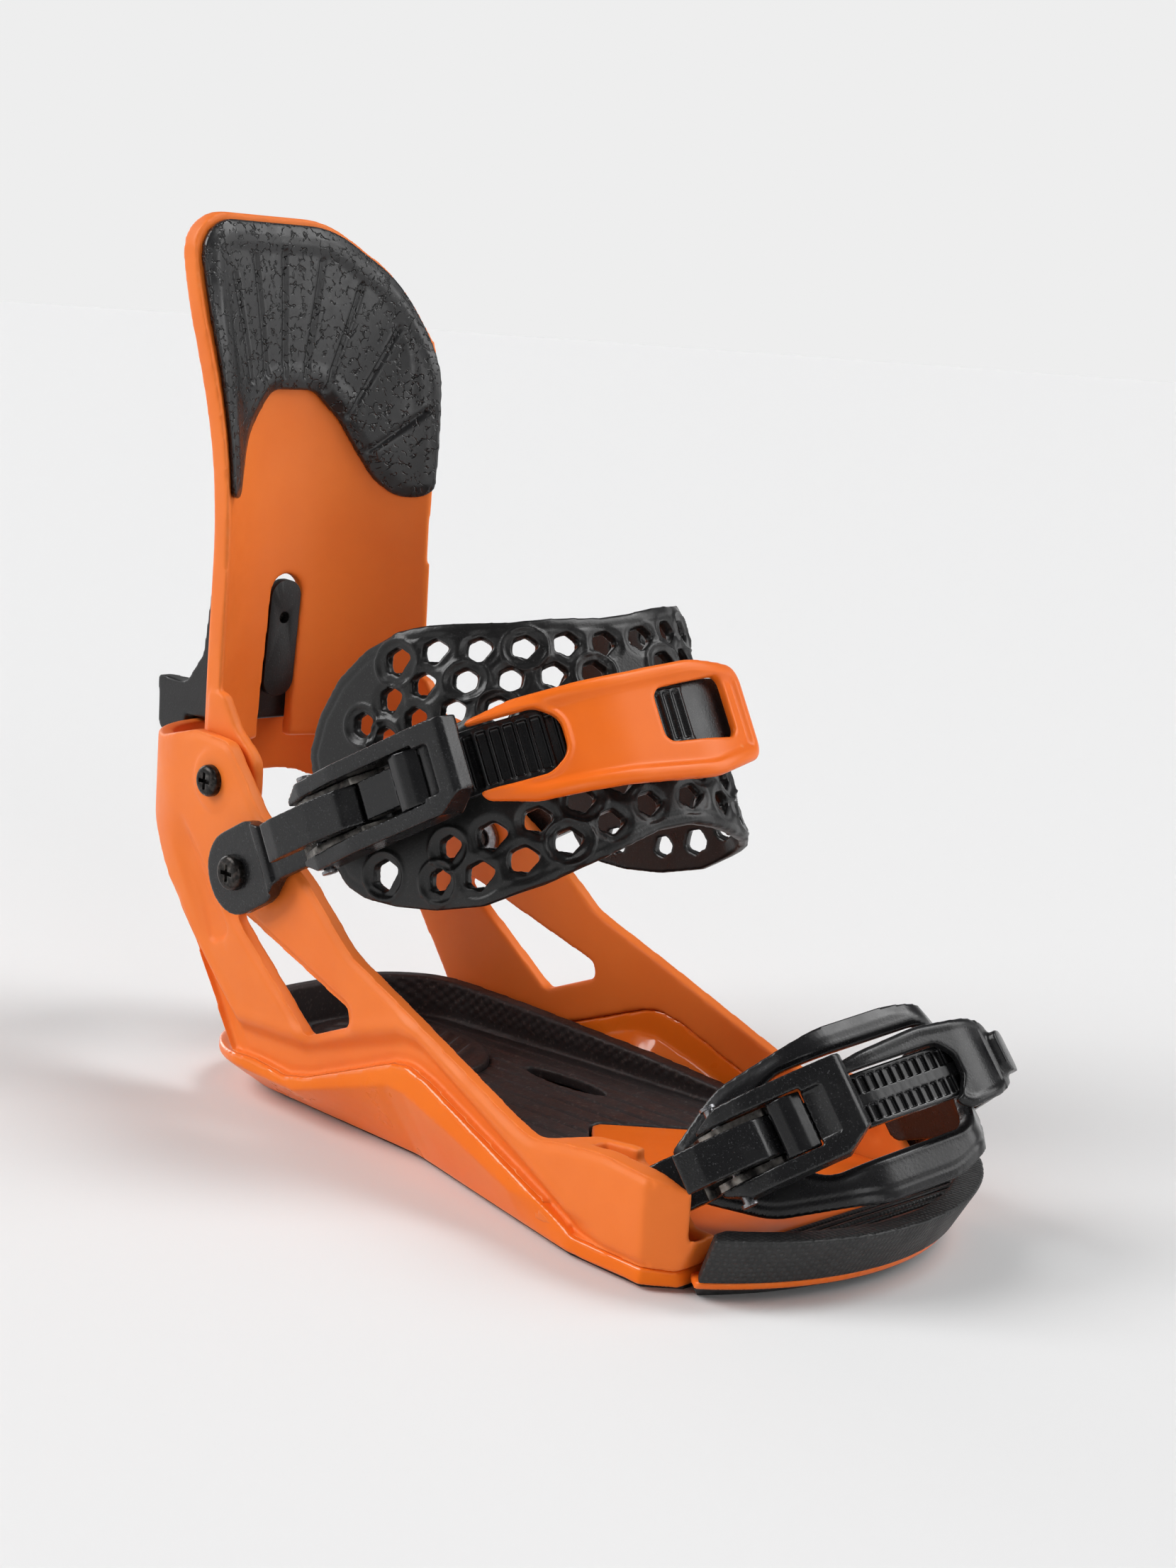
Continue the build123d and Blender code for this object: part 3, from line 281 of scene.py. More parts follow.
def speckled_black(name, base, fleck, roughness, grain=0.05, grain_scale=1500, edges=2.6):
    """Charcoal plastic with pale flecks and a matte sandy grain."""
    shade = Shade(name, base, roughness, specular=0.42)
    flecks = shade.spread(shade.noise(1900, 1), 0.62, 0.78)
    shade.tint(flecks, base, fleck)
    # Lighter edges scaled by edges: scuffed wear at the usual gain, and a painted highlight along
    # bars and rails at the ladder's high gain
    shade.edge_wear_and_highlight(0.6, tuple(c * edges + 0.03 for c in base))
    shade.gloss(shade.noise(120, 3), roughness - 0.06, roughness + 0.06)
    shade.bump(shade.noise(grain_scale, 2), grain, 0.8)
    return shade.material


def base_gloss():
    """Glossy orange of the base; only its upward faces have a clear coat."""
    gloss = Shade("base_gloss_orange", (0.90, 0.185, 0.014), 0.3, specular=0.3)
    gloss.shader.inputs["Specular Tint"].default_value = (1.0, 0.5, 0.25, 1)
    gloss.tint(gloss.spread(gloss.noise(18, 3), 0.35, 0.7), (0.90, 0.19, 0.014),
               (0.86, 0.16, 0.010))
    facing = gloss.new("ShaderNodeSeparateXYZ")
    gloss.links.new(gloss.new("ShaderNodeNewGeometry").outputs["Normal"], facing.inputs[0])
    gloss.links.new(gloss.spread(facing.outputs["Z"], 0.08, 0.4, 0.0, 1.0),
                    gloss.shader.inputs["Coat Weight"])
    gloss.shader.inputs["Coat Roughness"].default_value = 0.07
    gloss.edge_wear_and_highlight(0.1, (0.95, 0.30, 0.06))
    gloss.gloss(gloss.noise(60, 4), 0.26, 0.36)
    gloss.bump(gloss.noise(30, 1), 0.05, 0.3)
    return gloss.material


def pad_leather():
    """Leathery black with broken, wandering creases between its cells."""
    leather = Shade("pad_leather", (0.008, 0.008, 0.0085), 0.34, specular=0.6)
    wander = leather.new("ShaderNodeTexNoise", Scale=420, Detail=2.0)
    leather.links.new(leather.coords, wander.inputs["Vector"])
    shift = leather.new("ShaderNodeMix", data_type="VECTOR")
    shift.inputs["Factor"].default_value = 0.0035
    leather.links.new(leather.coords, shift.inputs[4])
    leather.links.new(wander.outputs["Color"], shift.inputs[5])
    edge = leather.cells(310, vector=shift.outputs[1])
    gap = leather.spread(leather.noise(430, 1), 0.40, 0.52)
    creases = leather.maths("MAXIMUM", leather.spread(edge, 0.0, 0.10), gap)
    # Darker colour in the creases: painted shade in the grooves, on top of their bump
    leather.tint(creases, (0.002, 0.002, 0.002), (0.010, 0.010, 0.0105))
    leather.gloss(leather.noise(240, 3), 0.26, 0.42)
    leather.bump(creases, 0.32, 1.0)
    leather.bump(leather.noise(1500, 3), 0.05, 0.7)
    return leather.material


def footbed_rubber():
    """Dark brown-black rubber with pale flecks and a pebbled surface."""
    rubber = Shade("footbed_rubber", (0.018, 0.016, 0.017), 0.6)
    flecks = rubber.spread(rubber.noise(800, 2), 0.58, 0.72)
    rubber.tint(flecks, (0.020, 0.0165, 0.0175), (0.065, 0.055, 0.052))
    rubber.gloss(rubber.noise(90, 3), 0.46, 0.68)
    rubber.bump(rubber.noise(1000, 3), 0.12, 0.8)
    rubber.bump(rubber.cells(420, feature="F1"), 0.10, 0.5)
    return rubber.material


def ramp_rubber():
    """Black rubber covered in small round dots."""
    tread = Shade("ramp_rubber", (0.013, 0.013, 0.013), 0.55)
    dots = tread.spread(tread.cells(640, feature="F1", randomness=0.15), 0.25, 0.55)
    tread.tint(dots, (0.020, 0.020, 0.020), (0.007, 0.007, 0.007))
    tread.edge_wear_and_highlight(0.4, (0.07, 0.07, 0.068))
    tread.bump(dots, 0.25, 0.8)
    tread.bump(tread.noise(1500, 2), 0.05, 0.6)
    tread.gloss(tread.noise(120, 3), 0.44, 0.62)
    return tread.material


def sole_rubber():
    sole = Shade("sole_rubber", (0.009, 0.009, 0.009), 0.7)
    sole.tint(sole.spread(sole.noise(500, 3), 0.4, 0.7), (0.008, 0.008, 0.008),
              (0.03, 0.03, 0.03))
    sole.bump(sole.noise(900, 3), 0.1, 0.7)
    return sole.material


def black_screw():
    """Blackened steel with a little bare metal at its edges."""
    screw = Shade("black_screw", (0.02, 0.018, 0.017), 0.3, metallic=0.75)
    screw.tint(screw.spread(screw.noise(700, 3), 0.45, 0.7), (0.014, 0.013, 0.012),
               (0.06, 0.05, 0.045))
    screw.edge_wear_and_highlight(0.8, (0.35, 0.33, 0.3))
    screw.gloss(screw.noise(400, 3), 0.22, 0.42)
    screw.bump(screw.noise(1500, 2), 0.02, 0.5)
    return screw.material


def pin_steel():
    """Bright steel with turning marks."""
    steel = Shade("pin_steel", (0.25, 0.25, 0.26), 0.3, metallic=1.0)
    steel.tint(steel.spread(steel.noise(600, 3), 0.4, 0.7), (0.22, 0.22, 0.23),
               (0.34, 0.34, 0.35))
    steel.gloss(steel.noise(900, 2, vector=steel.stretched((1, 14, 1))), 0.2, 0.42)
    steel.bump(steel.noise(1400, 2, vector=steel.stretched((1, 12, 1))), 0.02, 0.5)
    return steel.material


def make_materials():
    """Every material, by its slot in the record or by the piece that it is for."""
    return {
        "frame_plastic": moulded_orange("frame_orange", (0.86, 0.195, 0.028),
                                        (0.80, 0.165, 0.022), 0.46, 0.035),
        "base_plastic": base_gloss(),
        "bridge_plastic": moulded_orange("bridge_orange", (0.88, 0.165, 0.012),
                                         (0.82, 0.14, 0.010), 0.33, 0.02),
        "black_plastic": speckled_black("black_moulded", (0.006, 0.006, 0.0065),
                                        (0.03, 0.03, 0.031), 0.36),
        "buckle_plastic": speckled_black("charcoal_buckle", (0.0065, 0.0065, 0.007),
                                         (0.045, 0.045, 0.047), 0.27),
        # The ladder's edges are painted pale grey (edges=22): painted highlight on its bars and
        # rails
        "ladder_plastic": speckled_black("satin_ladder", (0.006, 0.006, 0.0065),
                                         (0.02, 0.02, 0.021), 0.24, 0.015, 900, edges=22),
        "pad_foam": speckled_black("moulded_pad", (0.006, 0.0058, 0.0058),
                                   (0.03, 0.029, 0.029), 0.33, 0.06, 1300),
        "toe_foam": speckled_black("toe_pad", (0.007, 0.0068, 0.0075),
                                   (0.03, 0.029, 0.031), 0.28, 0.04, 1100),
        "pad_leather": pad_leather(),
        "footbed_rubber": footbed_rubber(),
        "ramp_rubber": ramp_rubber(),
        "sole_rubber": sole_rubber(),
        "screw_steel": black_screw(),
        "pin_steel": pin_steel(),
    }


# ---- mesh helpers -----------------------------------------------------------------------------
def rounded_loop(points, radii, step=1.0):
    """Closed outline through the points with each corner rounded by its radius."""
    loop = []
    count = len(points)
    for i, radius in enumerate(radii):
        before, corner, after = (np.array(points[(i + k) % count], float) for k in (-1, 0, 1))
        into = (corner - before) / np.linalg.norm(corner - before)
        out = (after - corner) / np.linalg.norm(after - corner)
        turn = math.acos(max(-1.0, min(1.0, float(into @ out))))
        if radius <= 0 or turn < 0.02:
            loop.append(tuple(corner))
            continue
        reach = radius * math.tan(turn / 2)
        limit = 0.49 * min(np.linalg.norm(corner - before), np.linalg.norm(after - corner))
        if reach > limit:
            radius *= limit / reach
            reach = limit
        start = corner - into * reach
        side = 1.0 if into[0] * out[1] - into[1] * out[0] > 0 else -1.0
        normal = np.array((-into[1], into[0])) * side
        centre = start + normal * radius
        pieces = max(2, int(turn * radius / step) + 1)
        for k in range(pieces + 1):
            angle = side * turn * k / pieces
            arm = start - centre
            loop.append((centre[0] + arm[0] * math.cos(angle) - arm[1] * math.sin(angle),
                         centre[1] + arm[0] * math.sin(angle) + arm[1] * math.cos(angle)))
    return loop


def mesh_from(verts, faces, name):
    mesh = bpy.data.meshes.new(name)
    mesh.from_pydata([tuple(v) for v in verts], [], faces)
    mesh.update()
    return mesh


def baked(holder):
    """Mesh of a temporary object with its modifiers applied; the object is removed."""
    bpy.context.scene.collection.objects.link(holder)
    bpy.context.view_layer.update()
    mesh = bpy.data.meshes.new_from_object(
        holder.evaluated_get(bpy.context.evaluated_depsgraph_get()))
    bpy.data.objects.remove(holder)
    return mesh


def plate(loops, low, high):
    """Closed flat mesh in x, y from z low to high; loops after the first are holes."""
    curve = bpy.data.curves.new("plate", "CURVE")
    curve.dimensions = "2D"
    curve.fill_mode = "BOTH"
    curve.extrude = (high - low) / 2
    for loop in loops:
        spline = curve.splines.new("POLY")
        spline.points.add(len(loop) - 1)
        for point, (x, y) in zip(spline.points, loop):
            point.co = (x, y, 0, 1)
        spline.use_cyclic_u = True
    holder = bpy.data.objects.new("plate", curve)
    mesh = baked(holder)
    mesh.transform(Matrix.Translation((0, 0, (high + low) / 2)))
    return mesh


def joined(meshes):
    """One mesh out of several."""
    kit = bmesh.new()
    for mesh in meshes:
        kit.from_mesh(mesh)
    result = bpy.data.meshes.new("joined")
    kit.to_mesh(result)
    kit.free()
    return result


def fused(mesh, voxel, rounds=4, factor=0.5):
    """The mesh's volume as one even skin with softened edges. Sizes are the mesh's own."""
    holder = bpy.data.objects.new("fused", mesh)
    remesh = holder.modifiers.new("skin", "REMESH")
    remesh.mode = "VOXEL"
    remesh.voxel_size = voxel
    if rounds:
        smooth = holder.modifiers.new("soften", "SMOOTH")
        smooth.factor = factor
        smooth.iterations = rounds
    return baked(holder)


def difference(mesh, cutter):
    """The mesh with the cutter's volume taken away."""
    holder = bpy.data.objects.new("cut_body", mesh)
    tool = bpy.data.objects.new("cut_tool", cutter)
    bpy.context.scene.collection.objects.link(tool)
    boolean = holder.modifiers.new("cut", "BOOLEAN")
    boolean.operation = "DIFFERENCE"
    boolean.solver = "EXACT"
    boolean.object = tool
    result = baked(holder)
    bpy.data.objects.remove(tool)
    return result


def relaxed(mesh, rounds, factor=0.5):
    """Smooth a mesh's own vertices in place."""
    kit = bmesh.new()
    kit.from_mesh(mesh)
    for _ in range(rounds):
        bmesh.ops.smooth_vert(kit, verts=kit.verts, factor=factor, use_axis_x=True,
                              use_axis_y=True, use_axis_z=True)
    kit.to_mesh(mesh)
    kit.free()


def read_vectors(mesh, key):
    """One vector per vertex, as rows: key is co or normal."""
    flat = np.empty(len(mesh.vertices) * 3, np.float64)
    mesh.vertices.foreach_get(key, flat)
    return flat.reshape(-1, 3)


def read_points(mesh):
    return read_vectors(mesh, "co")


def read_normals(mesh):
    return read_vectors(mesh, "normal")


def write_points(mesh, points):
    mesh.vertices.foreach_set("co", np.ascontiguousarray(points, np.float64).ravel())
    mesh.update()


def smoothstep(value, low, high):
    t = np.clip((value - low) / (high - low), 0.0, 1.0)
    return t * t * (3 - 2 * t)


def edge_distance(x, y, loops):
    """Distance from each point to the nearest edge of the closed loops."""
    best = np.full(x.shape, 1e9)
    for loop in loops:
        ends = np.array(loop)
        for (ax, ay), (bx, by) in zip(ends, np.roll(ends, -1, axis=0)):
            dx, dy = bx - ax, by - ay
            length = dx * dx + dy * dy
            if length < 1e-12:
                continue
            t = np.clip(((x - ax) * dx + (y - ay) * dy) / length, 0, 1)
            best = np.minimum(best, np.hypot(x - ax - t * dx, y - ay - t * dy))
    return best


def piece(name, mesh, body, slot, material, *nodes):
    """Finished object from a mesh in millimetres: rides on a body and stands for CAD nodes."""
    mesh.transform(Matrix.Scale(MM, 4))
    for polygon in mesh.polygons:
        polygon.use_smooth = True
    mesh.materials.clear()
    mesh.materials.append(material)
    obj = bpy.data.objects.new(name, mesh)
    bpy.context.scene.collection.objects.link(obj)
    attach(obj, body)
    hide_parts(*nodes)
    return obj


def soften_node(node, voxel_mm, rounds):
    """Round the edges of a CAD node by modifiers alone."""
    obj = NODES[node]
    skin = obj.modifiers.new("skin", "REMESH")
    skin.mode = "VOXEL"
    skin.voxel_size = voxel_mm * MM
    skin.use_smooth_shade = True
    soft = obj.modifiers.new("soften", "SMOOTH")
    soft.factor = 0.5
    soft.iterations = rounds


def bevel_node(node, width_mm, segments=3):
    """Round the edges of a small CAD node."""
    obj = NODES[node]
    weld = obj.modifiers.new("weld", "WELD")
    weld.merge_threshold = 0.00001
    bevel = obj.modifiers.new("round", "BEVEL")
    bevel.width = width_mm * MM
    bevel.segments = segments
    bevel.limit_method = "ANGLE"
    bevel.angle_limit = math.radians(35)
    bevel.harden_normals = False
    for polygon in obj.data.polygons:
        polygon.use_smooth = True


def cad_mesh_mm(node):
    """Copy of a CAD node's mesh, in millimetres, with its seams joined."""
    kit = bmesh.new()
    kit.from_mesh(NODES[node].data)
    bmesh.ops.remove_doubles(kit, verts=kit.verts, dist=1e-6)
    mesh = bpy.data.meshes.new(node + "_copy")
    kit.to_mesh(mesh)
    kit.free()
    mesh.transform(Matrix.Scale(1000, 4))
    return mesh


# ---- strap lines ------------------------------------------------------------------------------
class StrapLine:
    """Middle line of a strap in its sloping plane: points, inward normals and arc length."""

    def __init__(self, pivot, tilt, points, radii, offset=0.0, step=0.5):
        self.origin = np.array((pivot[0], 0.0, pivot[1]))
        self.along = np.array((math.cos(math.radians(tilt)), 0.0, math.sin(math.radians(tilt))))
        self.across = np.array((0.0, 1.0, 0.0))
        self.width = np.array((-self.along[2], 0.0, self.along[0]))
        places, normals = self.walk(*self.moved(points, radii, offset), step)
        self.places = np.array(places)
        self.normals = np.array(normals)
        runs = np.linalg.norm(np.diff(self.places, axis=0), axis=1)
        self.s = np.concatenate([[0.0], np.cumsum(runs)])

    @staticmethod
    def moved(points, radii, offset):
        """The line moved inwards by offset."""
        normals = []
        for (x0, y0), (x1, y1) in zip(points, points[1:]):
            run = math.hypot(x1 - x0, y1 - y0)
            normals.append((-(y1 - y0) / run, (x1 - x0) / run))
        ends = [(points[0][0] + offset * normals[0][0], points[0][1] + offset * normals[0][1])]
        for (x, y), (ax, ay), (bx, by) in zip(points[1:-1], normals, normals[1:]):
            scale = offset / (1 + ax * bx + ay * by)
            ends.append((x + scale * (ax + bx), y + scale * (ay + by)))
        last = normals[-1]
        ends.append((points[-1][0] + offset * last[0], points[-1][1] + offset * last[1]))
        return ends, [radius - offset for radius in radii]

    @staticmethod
    def walk(points, radii, step):
        """Even samples along the runs and corner arcs, with inward normals."""
        corners = [np.array(p, float) for p in points]
        places, normals = [], []
        here = corners[0]
        for i, radius in enumerate(radii):
            into = corners[i + 1] - corners[i]
            into /= np.linalg.norm(into)
            out = corners[i + 2] - corners[i + 1]
            out /= np.linalg.norm(out)
            turn = math.acos(max(-1.0, min(1.0, float(into @ out))))
            side = 1.0 if into[0] * out[1] - into[1] * out[0] > 0 else -1.0
            reach = radius * math.tan(turn / 2)
            start = corners[i + 1] - into * reach
            count = max(1, int(np.linalg.norm(start - here) / step))
            for k in range(count):
                places.append(here + (start - here) * k / count)
                normals.append((-into[1], into[0]))
            centre = start + np.array((-into[1], into[0])) * radius * side
            count = max(1, int(turn * radius / step))
            for k in range(count):
                angle = side * turn * k / count
                arm = start - centre
                arm = np.array((arm[0] * math.cos(angle) - arm[1] * math.sin(angle),
                                arm[0] * math.sin(angle) + arm[1] * math.cos(angle)))
                places.append(centre + arm)
                normals.append(tuple(-arm / radius * side))
            here = corners[i + 1] + out * reach
        end = corners[-1]
        run = (end - here) / max(np.linalg.norm(end - here), 1e-9)
        for k in range(40):
            places.append(here + (end - here) * k / 39)
            normals.append((-run[1], run[0]))
        return places, normals

    def s_at(self, x, near=True):
        """Arc length where the line passes x on the outer (near) or inner side."""
        turn = int(np.argmax(self.places[:, 0]))
        part = slice(0, turn + 1) if near else slice(turn, len(self.s))
        return float(self.s[part][np.argmin(np.abs(self.places[part, 0] - x))])

    def s_at_y(self, y):
        """Arc length where the line passes y."""
        return float(self.s[np.argmin(np.abs(self.places[:, 1] - y))])

    def place(self, points):
        """Bend points: x is arc length, y goes up the width, z points away from the boot."""
        s = np.clip(points[:, 0], self.s[0], self.s[-1])
        extra = points[:, 0] - s
        px = np.interp(s, self.s, self.places[:, 0])
        py = np.interp(s, self.s, self.places[:, 1])
        nx = np.interp(s, self.s, self.normals[:, 0])
        ny = np.interp(s, self.s, self.normals[:, 1])
        length = np.hypot(nx, ny)
        nx, ny = nx / length, ny / length
        px, py = px + extra * ny, py - extra * nx
        local_x = px - nx * points[:, 2]
        local_y = py - ny * points[:, 2]
        return (self.origin + local_x[:, None] * self.along + local_y[:, None] * self.across
                + points[:, 1:2] * self.width)


ANKLE = dict(pivot=(-88.0, 75.0), tilt=28.5,
             points=[(0, -65.4), (98, -50.8), (123, -23), (134, 23), (118, 59.8), (0, 59.8)],
             radii=[45, 60, 40, 30])
TOE = dict(pivot=(84.0, 20.0), tilt=39.0,
           points=[(0, -53.2), (15, -53.2), (50, -20), (62, 24), (48, 46.5), (15, 53.2), (0, 53.2)],
           radii=[14, 40, 18, 20, 20])


def bar(s0, s1, w0, w1, z0, z1, radius=0.3):
    """Flat bar in strap coordinates."""
    loop = rounded_loop([(s0, w0), (s1, w0), (s1, w1), (s0, w1)], [radius] * 4, 0.3)
    return plate([loop], z0, z1)


def bent(mesh, line):
    """Lay a flat mesh along a strap line."""
    write_points(mesh, line.place(read_points(mesh)))
    mesh.flip_normals()
    return mesh


# ---- ankle pad --------------------------------------------------------------------------------
PAD_TOP = [(39, 8), (41, 24), (49, 33.5), (60, 41), (72, 45), (86, 46), (95, 44.5), (118, 38.5),
           (146, 35)]
PAD_LOW = [(39, -10), (41, -17), (47, -23), (57, -28.5), (71, -34), (88, -38), (107, -37.5),
           (126, -34.5), (146, -30)]
HOLE_ROWS = [  # first s, last s, count, inset from the edge, upper edge or lower, ringed every
    (83, 145, 6, 8.4, 1, 3), (64.4, 138.8, 7, 17.5, 1, 3), (71, 108.2, 4, 26.5, 1, 3),
    (76, 144, 6, 8.2, -1, 3), (82.8, 137.2, 5, 17.6, -1, 3), (57, 57, 1, 9.5, -1, 1),
]


def frustum(low_loop, high_loop, low, high):
    """Closed solid between two loops of the same length at two heights."""
    count = len(low_loop)
    verts = [(x, y, low) for x, y in low_loop] + [(x, y, high) for x, y in high_loop]
    faces = [tuple(reversed(range(count))), tuple(range(count, 2 * count))]
    faces += [(k, (k + 1) % count, count + (k + 1) % count, count + k) for k in range(count)]
    return mesh_from(verts, faces, "frustum")


def ankle_pad_holes(middle):
    """Centre, radius and ring of each hexagonal hole, the same on both wings of the pad."""
    near = []
    for first, last, count, inset, side, ringed in HOLE_ROWS:
        edge_s, edge_w = np.array(PAD_TOP if side > 0 else PAD_LOW).T
        for k in range(count):
            s = first + (last - first) * k / max(count - 1, 1)
            w = float(np.interp(s, edge_s, edge_w)) - side * inset
            near.append((s, w, k % ringed == 0))
    centres = near + [(2 * middle - s, w, ring) for s, w, ring in near]
    holes = []
    for i, (s, w, ring) in enumerate(centres):
        gaps = [math.hypot(s - s2, w - w2) for j, (s2, w2, _) in enumerate(centres) if j != i]
        holes.append((s, w, min(5.4, min(gaps) / 2 - 0.5), ring))
    return holes


def hexagon(s, w, radius, turn):
    corners = [(s + 1.08 * radius * math.cos(a), w + radius * math.sin(a))
               for a in (math.radians(turn + 60 * k) for k in range(6))]
    return rounded_loop(corners, [0.22 * radius] * 6, 0.5)


def make_ankle_pad(paint):
    """Broad moulded pad with funnel-shaped hexagonal holes and a thin rolled edge."""
    line = StrapLine(offset=10.6, **ANKLE)
    middle = line.s[-1] / 2
    upper = PAD_TOP + [(2 * middle - s, w) for s, w in reversed(PAD_TOP)]
    lower = [(2 * middle - s, w) for s, w in PAD_LOW] + list(reversed(PAD_LOW))
    outline = rounded_loop(upper + lower, [9] * len(upper + lower))
    holes = ankle_pad_holes(middle)
    cutters = [frustum(hexagon(s, w, r - 1.3, 8), hexagon(s, w, r + 0.1, 8), -4.0, 4.0)
               for s, w, r, _ in holes]
    mesh = difference(fused(plate([outline], -1.9, 1.9), 0.9, 0), joined(cutters))
    mesh = fused(mesh, 0.55, 3)
    points = read_points(mesh)
    rim = edge_distance(points[:, 0], points[:, 1], [outline])
    top = points[:, 2] > 0.3
    lift = 0.5 * smoothstep(rim, 0.3, 4.0) - 0.5
    lift -= 0.3 * np.exp(-((rim - 3.2) / 0.7) ** 2)
    for s, w, r, ring in holes:
        away = np.hypot((points[:, 0] - s) / 1.08, points[:, 1] - w) - r
        lift -= 0.45 * np.exp(-(np.clip(away, 0, None) / 0.8) ** 2)
        if ring:
            lift += 0.55 * np.exp(-((away - 1.7) / 0.5) ** 2)
    points[:, 2] += np.where(top, lift, 0)
    write_points(mesh, points)
    bent(mesh, line)
    pad = piece("ankle_pad_shell", mesh, "ankle_strap", "pad_foam", paint["pad_foam"], "ankle_pad")


# ---- highback pad -----------------------------------------------------------------------------
BACK_PAD = [(-40.6, 186), (-41.8, 205), (-45.2, 240), (-46.0, 270.4), (8, 270.4), (36.6, 254.8),
            (46.8, 232), (44.0, 209), (41.6, 186), (33, 184.5), (26, 191), (14.5, 209),
            (4, 218.6), (-15, 218.6), (-27.5, 204), (-32.5, 184.5)]
BACK_PAD_RADII = [3, 30, 30, 12, 38, 34, 50, 30, 6, 8, 16, 20, 9, 9, 24, 3]
BACK_PAD_GROOVES = [  # y and z where each groove starts and ends
    ((-27, 221), (-34, 254)), ((-19.5, 223), (-25, 260)), ((-11, 223), (-13, 262)),
    ((-2, 223), (3, 260)), ((7, 219), (19, 253)), ((16, 211), (33, 240)), ((23.5, 200), (40, 214)),
]
BACK_PAD_T = 3.6
FALLBACK_X = -137.0     # where the highback's front is, if a ray should miss it


def make_highback_pad(paint):
    """Leathery pad on the highback with seven grooves fanning up from its arch."""
    outline = rounded_loop(BACK_PAD, BACK_PAD_RADII)
    mesh = fused(plate([outline], 0.0, BACK_PAD_T), 0.6, 4)
    points = read_points(mesh)
    y, z, t = points[:, 0].copy(), points[:, 1].copy(), points[:, 2].copy()
    rim = edge_distance(y, z, [outline])
    front = smoothstep(t, 1.2, 2.6)
    lift = 1.5 * smoothstep(rim, 0.0, 4.5) - 1.0
    lift = lift - 0.8 * smoothstep(rim, 6.0, 9.5) * smoothstep(z, 205, 225)
    for (y0, z0), (y1, z1) in BACK_PAD_GROOVES:
        dy, dz = y1 - y0, z1 - z0
        k = np.clip(((y - y0) * dy + (z - z0) * dz) / (dy * dy + dz * dz), 0, 1)
        away = np.hypot(y - y0 - k * dy, z - z0 - k * dz)
        lift -= 1.1 * np.exp(-(away / 0.85) ** 2)
    t = t + front * lift
    wall = BVHTree.FromObject(NODES["highback"], bpy.context.evaluated_depsgraph_get())
    x = np.empty(len(points))
    for i in range(len(points)):
        hit = wall.ray_cast(Vector((0, y[i] * MM, z[i] * MM)), Vector((-1, 0, 0)))
        x[i] = hit[0].x / MM if hit[0] else FALLBACK_X
    write_points(mesh, np.stack([x + CONTACT_GAP + t, y, z], axis=1))
    pad = piece("highback_pad_skin", mesh, "highback", "pad_leather", paint["pad_leather"],
                "highback_pad")


# ---- chassis ----------------------------------------------------------------------------------
HIGHBACK_PIVOT = (-110, 99)
SIDE_TOP = [(109, 27), (92, 31.5), (75, 32.5), (60, 31), (47, 28.5), (38, 31), (-11, 50),
            (-38, 60), (-60, 77), (-86, 93), (-104, 112), (-122, 113), (-142, 108), (-160, 107.5),
            (-172, 107.5)]
SIDE_LOW = [(-172, 92), (-160, 88), (-143, 75), (-117, 45), (-89, 15), (-67, 15), (-56, 17.5),
            (-15, 33), (-8, 34), (1, 32), (49, 13.5), (66, 6.5), (101, 6.5)]
SIDE_RADII = [2, 6, 8, 8, 7, 6, 20, 20, 24, 20, 8, 8, 14, 10, 0,
              0, 8, 20, 30, 4, 4, 6, 6, 3, 6, 8, 6, 3]
WINDOW = [(-101, 62), (-57, 30), (-36, 38.5), (-37, 43.5), (-92, 60.5)]
WINDOW_RADII = [2, 3, 2, 3, 2]
RIDGE = [(-125, 54), (-92, 27), (-60, 28.5), (-13, 43.5), (-4, 43.5), (44, 22.5), (62, 14),
         (112, 12)]
RECESS = 3.3            # depth of the band above the base's wings
CHAMFER = 1.3


def wall_y(x):
    """Half width of the frame's outer face, which widens evenly towards the toe."""
    return 49.4 + (61.8 - 49.4) / 222.0 * (x + 130.0)


def make_chassis(paint):
    """Frame with chamfered edges and a recessed band above the base's wings."""
    mesh = fused(cad_mesh_mm("heel_chassis"), 0.62, 7)
    points = read_points(mesh)
    normals = read_normals(mesh)
    x, z = points[:, 0], points[:, 2]
    side = np.sign(points[:, 1])
    outer = smoothstep(normals[:, 1] * side, 0.35, 0.75)
    outer *= smoothstep(np.abs(points[:, 1]) - wall_y(x), -2.2, -0.8)
    outer *= smoothstep(x, -134.0, -122.0)
    loops = [rounded_loop(SIDE_TOP + SIDE_LOW, SIDE_RADII), rounded_loop(WINDOW, WINDOW_RADII)]
    edge = edge_distance(x, z, loops)
    ankle_x, ankle_z = ANKLE["pivot"]
    back_x, back_z = HIGHBACK_PIVOT
    boss = np.minimum(np.hypot(x - ankle_x, z - ankle_z) - 12,
                      np.hypot(x - back_x, z - back_z) - 9.5)
    chamfer = CHAMFER * (1 - smoothstep(edge, 0.2, 3.0)) * smoothstep(boss, 0.5, 3.0)
    ridge_x, ridge_z = np.array(RIDGE).T
    below = np.interp(x, ridge_x, ridge_z) - z
    recess = RECESS * smoothstep(below, -0.6, 5.0) * (1 - smoothstep(x, 58.0, 80.0))
    recess -= 0.5 * np.exp(-((below + 2.0) / 1.8) ** 2) * (1 - smoothstep(x, 50.0, 70.0))
    lean = (x + 118) * 0.80 + (z - 62) * 0.60
    hollow = 1.3 * (1 - smoothstep(np.abs(lean - 2), 3.0, 6.0)) * smoothstep(z, 44, 60)
    hollow *= (1 - smoothstep(z, 74, 88)) * smoothstep(boss, 3, 9)
    depth = outer * np.clip(chamfer + recess + hollow, -0.5, 3.6)
    points[:, 1] -= side * depth
    write_points(mesh, points)
    relaxed(mesh, 4)
    piece("chassis_frame", mesh, "base", "frame_plastic", paint["frame_plastic"], "heel_chassis")


